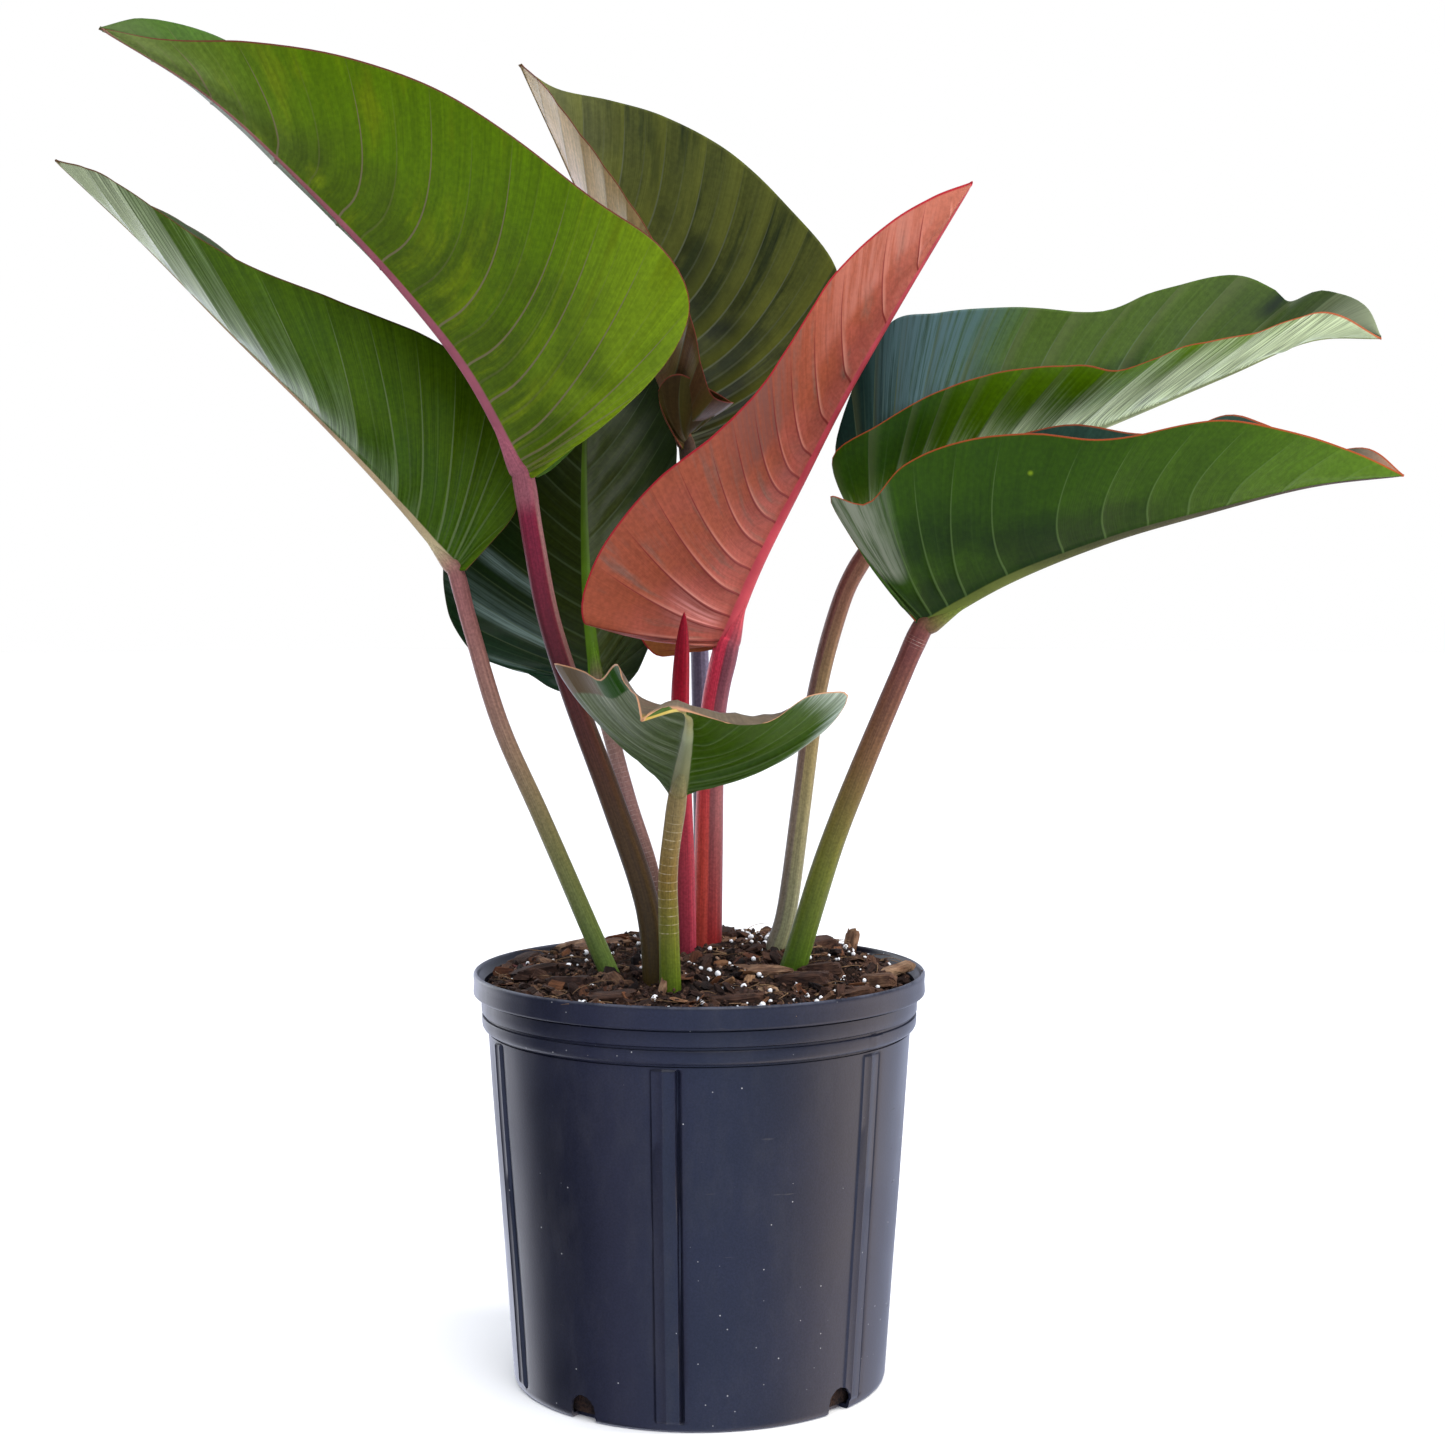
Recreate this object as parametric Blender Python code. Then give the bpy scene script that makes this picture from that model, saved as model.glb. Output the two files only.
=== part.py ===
# Potted red congo philodendron in a ten inch nursery pot, as separate closed solids.
# Written in metres with +Z up. The origin is the middle of the pot's underside, and the side that
# the plant shows to its viewer faces -Y. Places on the plant are given in millimetres and scaled.

import math

import bmesh
import bpy
import numpy as np
from mathutils import Matrix, Vector

MM = 0.001
GAP = 0.3          # clearance between neighbouring solids, mm

# The pot, a thin moulded shell, in mm and degrees.
POT_HEIGHT = 231.0
RIM_RADIUS = 127.0
RIM_BAND = 12.4        # height of the widest band
STEP_RADIUS = 122.5    # the stepped band below it
STEP_BAND = 9.5
SHOULDER_RADIUS = 122.2
SHOULDER_FOOT = 199.0  # height where the shoulder has curved in to the wall
WALL_TOP_RADIUS = 118.8
BASE_RADIUS = 105.0
WALL = 1.8
FLOOR = 2.2
SEAMS = 6              # upright raised seams round the wall
FIRST_SEAM = -8.5      # angle from the front toward +X
SEAM_HALF_WIDTH = 3.4
SEAM_EDGE = 1.0
SEAM_RELIEF = 0.9
SEAM_LOW, SEAM_HIGH = 5.0, 196.0
PANEL_STEPS = 5        # columns of the wall between two seams
NOTCH_ANGLES = (-36.0, 46.5, 144.0, 226.5)
NOTCH_WIDTH = 16.0
NOTCH_HEIGHT = 14.0
NOTCH_DEPTH_RADIUS = 98.0

# The potting mix, heaped behind the middle.
SOIL_RIM_HEIGHT = 223.0
MOUND_HEIGHT = 17.0
MOUND_CENTRE = (6.0, 42.0)
MOUND_SPREAD = 78.0
LUMP_HEIGHT = 1.5
SOIL_RINGS = 9
BURIED = 34.0          # length of every stalk below the surface of the mix

# Leaf construction.
BLADE_THICKNESS = 0.8
FAN = 0.24             # share of each margin whose veins start at the foot of the rib
FAN_POWER = 1.4        # how late the remaining veins leave the rib
VEIN_SWEEP = 0.12      # how far a vein bows back toward the stalk, as a share of its length
CUP = 0.12             # how far each half bellies toward the underside, as a share of the vein
BLADE_ROWS = 22
BLADE_STEPS = (0.0, 0.05, 0.28, 0.54, 0.79, 1.0)
RIDGE_FOOT = 4.6       # depth of the midrib under the blade at the stalk
RIDGE_TIP = 0.3
MAX_MITRE = 1.7
STALK_SIDES = 10
STALK_RINGS = 12
SLIMMING = 1.5         # how early a leaf stalk slims from its foot
POINTING = 14          # how late the spear narrows to its point

# Each leaf: the stalk's centre line from the mix up, its radius at the foot and the top, the midrib
# from the stalk to the tip, and the two margins from the stalk to the tip, all in mm. Left and right
# are as seen on the upper side with the tip up.
LEAVES = {
    "tall_left": dict(
        colour=(0.16, 0.30, 0.03),
        stalk_colour=(0.22, 0.07, 0.09),
        radii=(7.2, 5.8),
        stalk=[(-23, -48, 227), (-28, -47, 273), (-47, -45, 330), (-67, -43, 384), (-81, -42, 428),
               (-89, -41, 469), (-93, -42, 505)],
        rib=[(-93, -42, 505), (-121, -50, 558), (-153, -52, 600), (-201, -50, 652), (-260, -42, 707),
             (-323, -30, 747)],
        left=[(-88, -46, 505), (-66, -62, 521), (-40, -80, 539), (-13, -94, 567), (-4, -100, 594),
              (-19, -98, 622), (-55, -92, 648), (-100, -84, 683), (-140, -74, 708), (-189, -62, 726),
              (-239, -48, 736), (-286, -36, 740), (-323, -30, 747)],
        right=[(-87, -36, 505), (-78, -22, 512), (-61, -2, 533), (-52, 14, 561), (-63, 28, 602),
               (-90, 34, 639), (-130, 34, 672), (-174, 26, 702), (-216, 12, 724), (-247, 0, 740),
               (-270, -12, 749), (-300, -22, 754), (-323, -30, 747)],
    ),
    "low_left": dict(
        colour=(0.05, 0.16, 0.03),
        stalk_colour=(0.24, 0.12, 0.08),
        radii=(5.5, 4.6),
        stalk=[(-48, -27, 229), (-63, -24, 263), (-88, -19, 320), (-110, -14, 369), (-127, -9, 424),
               (-134, -6, 454)],
        rib=[(-134, -6, 454), (-171, 10, 496), (-215, 24, 541), (-263, 22, 588), (-309, 0, 637),
             (-347, -34, 676)],
        left=[(-129, -12, 455), (-115, -14, 470), (-101, -8, 489), (-97, 0, 522), (-111, 4, 552),
              (-145, 0, 581), (-198, -10, 603), (-241, -20, 619), (-271, -28, 635), (-302, -34, 656),
              (-324, -36, 669), (-347, -34, 676)],
        right=[(-130, 0, 456), (-123, 12, 469), (-117, 26, 492), (-123, 40, 521), (-141, 54, 550),
               (-177, 66, 582), (-221, 70, 606), (-257, 60, 627), (-278, 42, 640), (-293, 20, 649),
               (-318, -10, 663), (-347, -34, 676)],
    ),
    "back_centre": dict(
        colour=(0.07, 0.11, 0.03),
        stalk_colour=(0.14, 0.13, 0.14),
        radii=(6.0, 4.8),
        stalk=[(2, 50, 241), (2, 52, 286), (1, 54, 344), (0, 56, 394), (-2, 59, 461), (-6, 62, 524)],
        rib=[(-6, 62, 524), (-19, 70, 557), (-42, 74, 612), (-64, 70, 661), (-83, 60, 702),
             (-102, 44, 742)],
        left=[(-10, 56, 526), (-20, 43, 543), (-23, 32, 558), (-10, 20, 565), (20, 26, 549),
              (5, 12, 555), (-6, 2, 599), (-29, 0, 643), (-52, 8, 678), (-74, 20, 708), (-90, 34, 730),
              (-102, 44, 742)],
        right=[(0, 67, 526), (20, 74, 533), (53, 80, 554), (79, 84, 590), (80, 86, 631), (50, 86, 669),
               (17, 84, 699), (-20, 78, 718), (-51, 70, 726), (-80, 58, 730), (-95, 50, 737),
               (-102, 44, 742)],
    ),
    "back_low": dict(
        colour=(0.03, 0.11, 0.04),
        stalk_colour=(0.20, 0.13, 0.08),
        radii=(5.2, 4.4),
        stalk=[(-21, 10, 237), (-28, 14, 284), (-40, 19, 322), (-49, 23, 355), (-58, 28, 388)],
        rib=[(-58, 28, 388), (-64, 42, 432), (-67, 58, 478), (-68, 76, 525), (-67, 92, 567),
             (-64, 104, 604)],
        left=[(-64, 26, 389), (-79, 22, 386), (-101, 28, 397), (-126, 32, 405), (-143, 42, 425),
              (-149, 54, 455), (-145, 68, 496), (-129, 82, 537), (-102, 94, 574), (-80, 102, 596),
              (-64, 104, 604)],
        right=[(-52, 26, 389), (-41, 22, 391), (-30, 28, 409), (-23, 40, 438), (-19, 54, 472),
               (-14, 70, 513), (-17, 84, 552), (-33, 96, 582), (-51, 102, 599), (-64, 104, 604)],
    ),
    "new_red": dict(
        colour=(0.50, 0.13, 0.08),
        stalk_colour=(0.40, 0.03, 0.05),
        radii=(9.0, 6.0),
        stalk=[(4, 27, 239), (5, 24, 289), (6, 19, 336), (8, 13, 376), (13, 8, 411)],
        rib=[(13, 8, 411), (31, 4, 456), (56, 0, 505), (80, -2, 551), (113, 2, 607), (152, 12, 671)],
        left=[(9, 14, 413), (-6, 14, 409), (-25, 16, 407), (-37, 18, 427), (-31, 18, 455),
              (-11, 16, 491), (17, 14, 528), (45, 12, 568), (70, 12, 606), (95, 12, 636),
              (124, 12, 658), (152, 12, 671)],
        right=[(7, 2, 413), (-11, -8, 415), (-36, -22, 418), (-57, -34, 424), (-63, -39, 428),
               (-62, -42, 444), (-50, -46, 470), (-24, -48, 502), (8, -46, 528), (33, -44, 553), (54, -40, 584),
               (75, -30, 616), (103, -14, 644), (129, 0, 661), (152, 12, 671)],
    ),
    "right_upper": dict(
        colour=(0.05, 0.17, 0.05),
        stalk_colour=(0.20, 0.09, 0.07),
        radii=(6.0, 5.2),
        stalk=[(43, 19, 238), (50, 20, 263), (58, 22, 322), (67, 24, 386), (81, 25, 438),
               (93, 25, 465)],
        rib=[(93, 25, 465), (127, 16, 495), (175, 6, 517), (228, -4, 537), (291, -8, 563),
             (338, -4, 582), (379, 2, 584)],
        left=[(94, 32, 469), (87, 38, 495), (78, 42, 529), (105, 46, 592), (137, 46, 602),
              (182, 46, 605), (229, 44, 602), (260, 42, 613), (302, 38, 622), (324, 32, 614),
              (334, 27, 606), (351, 18, 611), (371, 8, 602), (379, 2, 584)],
        right=[(90, 19, 468), (83, 12, 494), (75, 2, 519), (99, -16, 535), (128, -32, 551),
               (162, -44, 561), (203, -52, 565), (228, -54, 562), (264, -48, 575), (301, -38, 583),
               (343, -20, 596), (379, 2, 584)],
    ),
    "right_lower": dict(
        colour=(0.06, 0.18, 0.03),
        stalk_colour=(0.22, 0.12, 0.07),
        radii=(7.8, 5.6),
        stalk=[(49, -26, 230), (68, -32, 299), (92, -36, 347), (110, -40, 390), (120, -42, 424)],
        rib=[(120, -42, 424), (165, -54, 450), (217, -62, 471), (269, -66, 486), (326, -62, 500),
             (378, -54, 506)],
        left=[(121, -36, 428), (113, -26, 455), (102, -18, 488), (119, -20, 507), (148, -28, 520),
              (176, -34, 529), (204, -36, 534), (237, -36, 529), (261, -38, 530), (286, -38, 539),
              (306, -40, 534), (335, -44, 520), (361, -48, 520), (378, -54, 506)],
        right=[(117, -48, 428), (92, -62, 457), (70, -70, 493), (89, -78, 490), (108, -86, 510),
               (137, -92, 522), (173, -96, 526), (214, -98, 523), (269, -92, 533), (310, -82, 528),
               (348, -66, 518), (378, -54, 506)],
    ),
    "small_front": dict(
        colour=(0.06, 0.16, 0.04),
        stalk_colour=(0.17, 0.16, 0.05),
        radii=(6.2, 4.8),
        stalk=[(-15, -64, 229), (-16, -65, 265), (-16, -68, 295), (-11, -74, 335)],
        rib=[(-11, -74, 335), (-8, -88, 351), (-5, -108, 368), (-4, -132, 381), (-10, -156, 386),
             (-27, -178, 382)],
        left=[(-6, -74, 337), (14, -74, 344), (41, -74, 352), (67, -72, 369), (80, -72, 389),
              (58, -94, 389), (42, -112, 379), (26, -124, 376), (8, -138, 380), (-6, -152, 385),
              (-18, -166, 387), (-27, -178, 382)],
        right=[(-16, -73, 337), (-27, -72, 352), (-42, -70, 370), (-60, -68, 388), (-77, -68, 405),
               (-60, -88, 402), (-51, -100, 398), (-42, -116, 407), (-37, -134, 398),
               (-30, -158, 392), (-27, -178, 382)],
    ),
}

# The red sheath that the next leaf will break from.
SPEAR_LINE = [(-7, 7, 241), (-8, 2, 291), (-9.5, -5, 336), (-10.5, -14, 382), (-8, -24, 432)]
SPEAR_RADII = (5.3, 0.8)
SPEAR_COLOUR = (0.42, 0.02, 0.05)


def clear_scene():
    for obj in list(bpy.data.objects):
        bpy.data.objects.remove(obj, do_unlink=True)


def make_material(name, colour, roughness=0.4):
    material = bpy.data.materials.new(name)
    material.use_nodes = True
    shader = material.node_tree.nodes["Principled BSDF"]
    shader.inputs["Base Color"].default_value = (*colour, 1.0)
    shader.inputs["Roughness"].default_value = roughness
    material.diffuse_color = (*colour, 1.0)
    return material


def make_object(name, points, faces, colour, roughness=0.4):
    """One closed solid from points in mm."""
    mesh = bpy.data.meshes.new(name)
    mesh.from_pydata([tuple(p) for p in np.asarray(points, float) * MM], [], faces)
    mesh.shade_smooth()
    mesh.set_sharp_from_angle(angle=math.radians(38))
    mesh.materials.append(make_material(name, colour, roughness))
    obj = bpy.data.objects.new(name, mesh)
    bpy.context.scene.collection.objects.link(obj)
    return obj


def along_line(points, fractions, samples=400):
    """Places at fractions of the length of a smooth curve through the points."""
    p = np.asarray(points, float)
    ends = np.vstack([2 * p[0] - p[1], p, 2 * p[-1] - p[-2]])
    where = np.linspace(0, len(p) - 1, samples)
    cell = np.minimum(where.astype(int), len(p) - 2)
    t = (where - cell)[:, None]
    a, b, c, d = ends[cell], ends[cell + 1], ends[cell + 2], ends[cell + 3]
    line = 0.5 * (2 * b + (c - a) * t + (2 * a - 5 * b + 4 * c - d) * t**2
                  + (3 * b - a - 3 * c + d) * t**3)
    run = np.concatenate([[0.0], np.cumsum(np.linalg.norm(np.diff(line, axis=0), axis=1))])
    run /= run[-1]
    return np.stack([np.interp(fractions, run, line[:, k]) for k in range(3)], -1)


def unit(vectors):
    return vectors / np.maximum(np.linalg.norm(vectors, axis=-1, keepdims=True), 1e-9)


def vein_roots(margin_share):
    """Where on the rib the vein starts that ends at a share of the margin."""
    late = np.clip((margin_share - FAN) / (1 - FAN), 0.0, 1.0) ** FAN_POWER
    fan = np.minimum(margin_share / FAN, 1.0) * 0.03
    return fan + late * (1 - 0.03)


def half_blade(rib, margin, shares, steps, side):
    """Rows of points along the veins of one half, from the rib to the margin.
    Each vein is a quadratic curve bowed back toward the stalk and down to the underside."""
    roots = vein_roots(shares)
    start = along_line(rib, roots)
    end = along_line(margin, shares)
    ahead = along_line(rib, np.clip(roots + 0.002, 0, 1))
    behind = along_line(rib, np.clip(roots - 0.002, 0, 1))
    forward = unit(ahead - behind)
    across = end - start
    length = np.linalg.norm(across, axis=-1, keepdims=True)
    under = unit(np.cross(forward, across)) * side
    bow = np.sin(math.pi * shares)[:, None] * VEIN_SWEEP
    control = 0.5 * (start + end) - forward * bow * length + under * CUP * length
    t = np.asarray(steps)[None, :, None]
    return (1 - t)**2 * start[:, None] + 2 * t * (1 - t) * control[:, None] + t**2 * end[:, None]


def blade_sheet(leaf, rows, steps):
    """The blade's middle surface: columns run from the left margin over the rib to the right."""
    shares = np.linspace(0, 1, rows + 1)
    left = half_blade(leaf["rib"], leaf["left"], shares, steps, -1)
    right = half_blade(leaf["rib"], leaf["right"], shares, steps, 1)
    return np.concatenate([left[:, ::-1], right[:, 1:]], axis=1)


def sheet_normals(sheet):
    """Upper-side normals, lengthened at the fold so that the thickness stays even."""
    across = np.gradient(sheet, axis=1)
    forward = np.gradient(sheet, axis=0)
    normals = unit(np.cross(across, forward))
    normals[-1] = normals[-2]
    middle = sheet.shape[1] // 2
    beside = unit(np.cross(sheet[:, middle + 1] - sheet[:, middle], forward[:, middle]))
    lean = np.abs((normals[:, middle] * beside).sum(-1, keepdims=True))
    normals[:, middle] *= np.minimum(1 / np.maximum(lean, 0.1), MAX_MITRE)
    return normals


def blade_solid(leaf):
    """Points and triangles of the whole blade: both faces are split alike."""
    sheet = blade_sheet(leaf, BLADE_ROWS, BLADE_STEPS)
    normals = sheet_normals(sheet)
    rows, columns = sheet.shape[0] - 1, sheet.shape[1]
    middle = columns // 2
    run = vein_roots(np.linspace(0, 1, rows + 1))
    ridge = RIDGE_FOOT + (RIDGE_TIP - RIDGE_FOOT) * run**0.6
    half = BLADE_THICKNESS / 2
    top = sheet + normals * half
    under = sheet - normals * half
    under[:, middle] -= unit(normals[:, middle]) * ridge[:, None]
    tip = sheet[-1, middle]
    lift = unit(normals[-2, middle]) * half
    points = np.concatenate([top[:-1].reshape(-1, 3), under[:-1].reshape(-1, 3), [tip + lift, tip - lift]])
    low = rows * columns
    tip_top, tip_under = 2 * low, 2 * low + 1
    faces = []
    for i in range(rows - 1):
        for j in range(columns - 1):
            a, b = i * columns + j, i * columns + j + 1
            c, d = a + columns, b + columns
            faces += [(a, b, d), (a, d, c)]
            faces += [(low + a, low + d, low + b), (low + a, low + c, low + d)]
    last = (rows - 1) * columns
    for j in range(columns - 1):
        a, b = last + j, last + j + 1
        faces += [(a, b, tip_top), (low + a, tip_under, low + b)]
        faces += [(j + 1, j, low + j), (j + 1, low + j, low + j + 1)]
    for i in range(rows - 1):
        a, c = i * columns, (i + 1) * columns
        faces += [(a, c, low + c), (a, low + c, low + a)]
        b, d = a + columns - 1, c + columns - 1
        faces += [(b, low + b, low + d), (b, low + d, d)]
    a, b = last, last + columns - 1
    faces += [(a, tip_top, tip_under), (a, tip_under, low + a)]
    faces += [(b, low + b, tip_under), (b, tip_under, tip_top)]
    return points, faces


def tube_rings(line, radii, rings, sides, swell=0.0, pointed=False):
    """Rings of a round stalk along a smooth line. A leaf stalk slims from the foot up, and a
    pointed one keeps its width until near the tip."""
    shares = np.linspace(0, 1, rings)
    centres = along_line(line, shares)
    forward = unit(np.gradient(centres, axis=0))
    right = unit(np.cross(forward, np.array([0.0, 1.0, 0.0])))
    back = np.cross(right, forward)
    width = 1 - shares**POINTING if pointed else (1 - shares)**SLIMMING
    radius = radii[1] + (radii[0] - radii[1]) * width + swell
    turn = np.arange(sides) * 2 * math.pi / sides
    round_about = (right[:, None] * np.cos(turn)[None, :, None]
                   + back[:, None] * np.sin(turn)[None, :, None])
    return centres[:, None] + round_about * radius[:, None, None]


def tube_solid(rings):
    """Points and faces of a closed tube from its rings."""
    count, sides = rings.shape[:2]
    points = rings.reshape(-1, 3)
    faces = [tuple(range(sides)), tuple(reversed(range((count - 1) * sides, count * sides)))]
    for i in range(count - 1):
        for j in range(sides):
            a, b = i * sides + j, i * sides + (j + 1) % sides
            faces.append((a, a + sides, b + sides, b))
    return points, faces


def buried_line(line):
    """The stalk's line with its stretch below the surface of the mix put in front."""
    foot, after = np.array(line[0], float), np.array(line[1], float)
    down = unit((foot - after)[None])[0]
    return [tuple(foot + down * BURIED)] + list(line)


def stalk_under(line, blade_points, top_radius):
    """The stalk's line, ended just short of the blade that it carries."""
    end, before = np.array(line[-1], float), np.array(line[-2], float)
    forward = unit((end - before)[None])[0]
    offset = blade_points - end
    height = offset @ forward
    beside = np.linalg.norm(offset - height[:, None] * forward, axis=1)
    above = (beside < top_radius + 1.5) & (height > -20)
    return list(line[:-1]) + [tuple(end + forward * (height[above].min() - GAP))]


def polar_solid(outer, inner, columns):
    """A turned shell from matching outer and inner rings, closed at the middle of its floor."""
    rings = np.concatenate([outer, inner[::-1]])
    count = len(rings)
    points = np.concatenate([rings.reshape(-1, 3), [(0, 0, rings[0, 0, 2]), (0, 0, rings[-1, 0, 2])]])
    faces = []
    for i in range(count - 1):
        for j in range(columns):
            k = (j + 1) % columns
            faces.append((i * columns + j, i * columns + k, (i + 1) * columns + k, (i + 1) * columns + j))
    foot, floor = count * columns, count * columns + 1
    for j in range(columns):
        k = (j + 1) % columns
        faces.append((foot, k, j))
        faces.append((floor, (count - 1) * columns + j, (count - 1) * columns + k))
    return points, faces


def wall_angles():
    """Angles of the wall's columns from the front toward +X, with close pairs at the seams."""
    angles = []
    for seam in range(SEAMS):
        centre = FIRST_SEAM + seam * 360 / SEAMS
        edge = SEAM_HALF_WIDTH + SEAM_EDGE
        angles += [centre - edge, centre - SEAM_HALF_WIDTH, centre + SEAM_HALF_WIDTH, centre + edge]
        panel = 360 / SEAMS - 2 * edge
        angles += [centre + edge + panel * k / PANEL_STEPS for k in range(1, PANEL_STEPS)]
    return np.radians(angles)


def turned_rings(profile, angles, seams=False):
    """Rings of points for a profile of radius and height, counted round from the front."""
    radius = np.array([p[0] for p in profile])[:, None] * np.ones(len(angles))
    height = np.array([p[1] for p in profile])[:, None] * np.ones(len(angles))
    if seams:
        place = np.arange(len(angles)) % (3 + PANEL_STEPS)
        on_seam = (place == 1) | (place == 2)
        on_wall = (height[:, :1] > SEAM_LOW) & (height[:, :1] < SEAM_HIGH)
        radius = radius + SEAM_RELIEF * on_seam[None, :] * on_wall
    return np.stack([radius * np.sin(angles), -radius * np.cos(angles), height], -1)


def wall_radius(height):
    """Outer radius of the tapered wall."""
    return BASE_RADIUS + (WALL_TOP_RADIUS - BASE_RADIUS) * height / SHOULDER_FOOT


def inner_profile(clearance=0.0):
    """Inside of the pot from the floor up, or a clearance inside that."""
    wall = WALL + clearance
    shoulder = SHOULDER_RADIUS - wall
    return [(wall_radius(FLOOR) - wall, FLOOR + clearance), (WALL_TOP_RADIUS - wall, SHOULDER_FOOT),
            (shoulder, SHOULDER_FOOT + 6)]


def make_pot():
    angles = wall_angles()
    top = POT_HEIGHT
    band_foot = top - RIM_BAND
    step_foot = band_foot - STEP_BAND
    outer = [(BASE_RADIUS - 2.6, 0.0), (BASE_RADIUS - 0.9, 0.5), (wall_radius(3), 3.0)]
    outer += [(wall_radius(SEAM_LOW) , SEAM_LOW), (wall_radius(SEAM_LOW + 1), SEAM_LOW + 1)]
    outer += [(wall_radius(SEAM_HIGH - 1), SEAM_HIGH - 1), (wall_radius(SEAM_HIGH), SEAM_HIGH)]
    outer += [(WALL_TOP_RADIUS, SHOULDER_FOOT), (SHOULDER_RADIUS - 0.9, SHOULDER_FOOT + 1.4)]
    outer += [(SHOULDER_RADIUS, SHOULDER_FOOT + 4), (SHOULDER_RADIUS, step_foot - 2.2)]
    outer += [(STEP_RADIUS - 1.6, step_foot - 1.6), (STEP_RADIUS - 1.6, step_foot - 0.4)]
    outer += [(STEP_RADIUS, step_foot), (STEP_RADIUS, band_foot - 0.6), (RIM_RADIUS - 0.5, band_foot)]
    outer += [(RIM_RADIUS, band_foot + 0.8), (RIM_RADIUS, top - 1.2), (RIM_RADIUS - 0.7, top - 0.2)]
    outer += [(RIM_RADIUS - 1.6, top)]
    inner = inner_profile()
    inner += [(RIM_RADIUS - 6.0, top - 6), (RIM_RADIUS - 2.6, top - 3.2), (RIM_RADIUS - 2.3, top - 0.3)]
    rings_out = turned_rings(outer, angles, seams=True)
    rings_in = turned_rings(inner, angles)
    points, faces = polar_solid(rings_out, rings_in, len(angles))
    pot = make_object("pot", points, faces, (0.022, 0.025, 0.032), 0.42)
    cut_notches(pot)
    return pot


def cut_notches(pot):
    """Arched drain notches through the foot of the wall, cut by hidden guides."""
    half = NOTCH_WIDTH / 2
    spring = NOTCH_HEIGHT - half
    outline = [(-half, -4.0), (half, -4.0)]
    outline += [(half * math.cos(math.pi * k / 8), spring + half * math.sin(math.pi * k / 8))
                for k in range(9)]
    for number, angle in enumerate(NOTCH_ANGLES, 1):
        mesh = bpy.data.meshes.new("notch_guide")
        form = bmesh.new()
        ring = [form.verts.new((x * MM, -NOTCH_DEPTH_RADIUS * MM, z * MM)) for x, z in outline]
        face = form.faces.new(ring)
        grown = bmesh.ops.extrude_face_region(form, geom=[face])
        moved = [v for v in grown["geom"] if isinstance(v, bmesh.types.BMVert)]
        bmesh.ops.translate(form, verts=moved, vec=(0, -30 * MM, 0))
        bmesh.ops.recalc_face_normals(form, faces=form.faces)
        form.to_mesh(mesh)
        form.free()
        mesh.transform(Matrix.Rotation(math.radians(angle), 4, "Z"))
        guide = bpy.data.objects.new(f"notch_guide_{number}", mesh)
        bpy.context.scene.collection.objects.link(guide)
        guide.hide_render = True
        guide.display_type = "WIRE"
        cut = pot.modifiers.new(f"notch_{number}", "BOOLEAN")
        cut.operation = "DIFFERENCE"
        cut.solver = "EXACT"
        cut.object = guide


def mix_height(x, y):
    """Surface of the potting mix: a low heap with seeded lumps."""
    away = ((x - MOUND_CENTRE[0])**2 + (y - MOUND_CENTRE[1])**2) / (2 * MOUND_SPREAD**2)
    lumps = np.sin(x * 0.31 + 1.3 * np.sin(y * 0.17)) * np.sin(y * 0.27 + 0.9 * np.sin(x * 0.13 + 2))
    lumps = lumps + 0.6 * np.sin(x * 0.11 + y * 0.19 + 1.0)
    edge = np.clip((118 - np.hypot(x, y)) / 30, 0, 1)
    return SOIL_RIM_HEIGHT + MOUND_HEIGHT * np.exp(-away) * edge**0.4 + LUMP_HEIGHT * lumps * edge


def make_mix(stalks):
    """The potting mix fills the pot and has a plain hole for each stalk."""
    angles = wall_angles()
    side = turned_rings(inner_profile(GAP), angles)
    brim = SHOULDER_RADIUS - WALL - GAP
    reach = [brim * (1 - k / SOIL_RINGS) for k in range(SOIL_RINGS)]
    top = turned_rings([(r, 0) for r in reach], angles)
    top[..., 2] = mix_height(top[..., 0], top[..., 1])
    rings = np.concatenate([side, top])
    columns = len(angles)
    count = len(rings)
    middle = float(mix_height(0.0, 0.0))
    points = np.concatenate([rings.reshape(-1, 3), [(0, 0, rings[0, 0, 2]), (0, 0, middle)]])
    faces = []
    for i in range(count - 1):
        for j in range(columns):
            k = (j + 1) % columns
            a, b = i * columns + j, i * columns + k
            faces += [(a, b, b + columns), (a, b + columns, a + columns)]
    foot, peak = count * columns, count * columns + 1
    for j in range(columns):
        k = (j + 1) % columns
        faces += [(foot, k, j), (peak, (count - 1) * columns + j, (count - 1) * columns + k)]
    mix = make_object("potting_mix", points, faces, (0.045, 0.025, 0.015), 0.9)
    guides = bpy.data.collections.new("stalk_holes")
    bpy.context.scene.collection.children.link(guides)
    swell = GAP / math.cos(math.pi / STALK_SIDES)
    for name, (line, radii, pointed) in stalks.items():
        rings = tube_rings(line, radii, STALK_RINGS, STALK_SIDES, swell, pointed)
        rings[0] += unit((rings[0] - rings[1]).mean(axis=0)[None]) * GAP
        points, faces = tube_solid(rings[:5])
        guide = make_object(f"hole_guide_{name}", points, faces, (0.5, 0.5, 0.5))
        guide.hide_render = True
        guide.display_type = "WIRE"
        bpy.context.scene.collection.objects.unlink(guide)
        guides.objects.link(guide)
    cut = mix.modifiers.new("stalk_holes", "BOOLEAN")
    cut.operation = "DIFFERENCE"
    cut.solver = "EXACT"
    cut.operand_type = "COLLECTION"
    cut.collection = guides
    return mix


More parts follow.
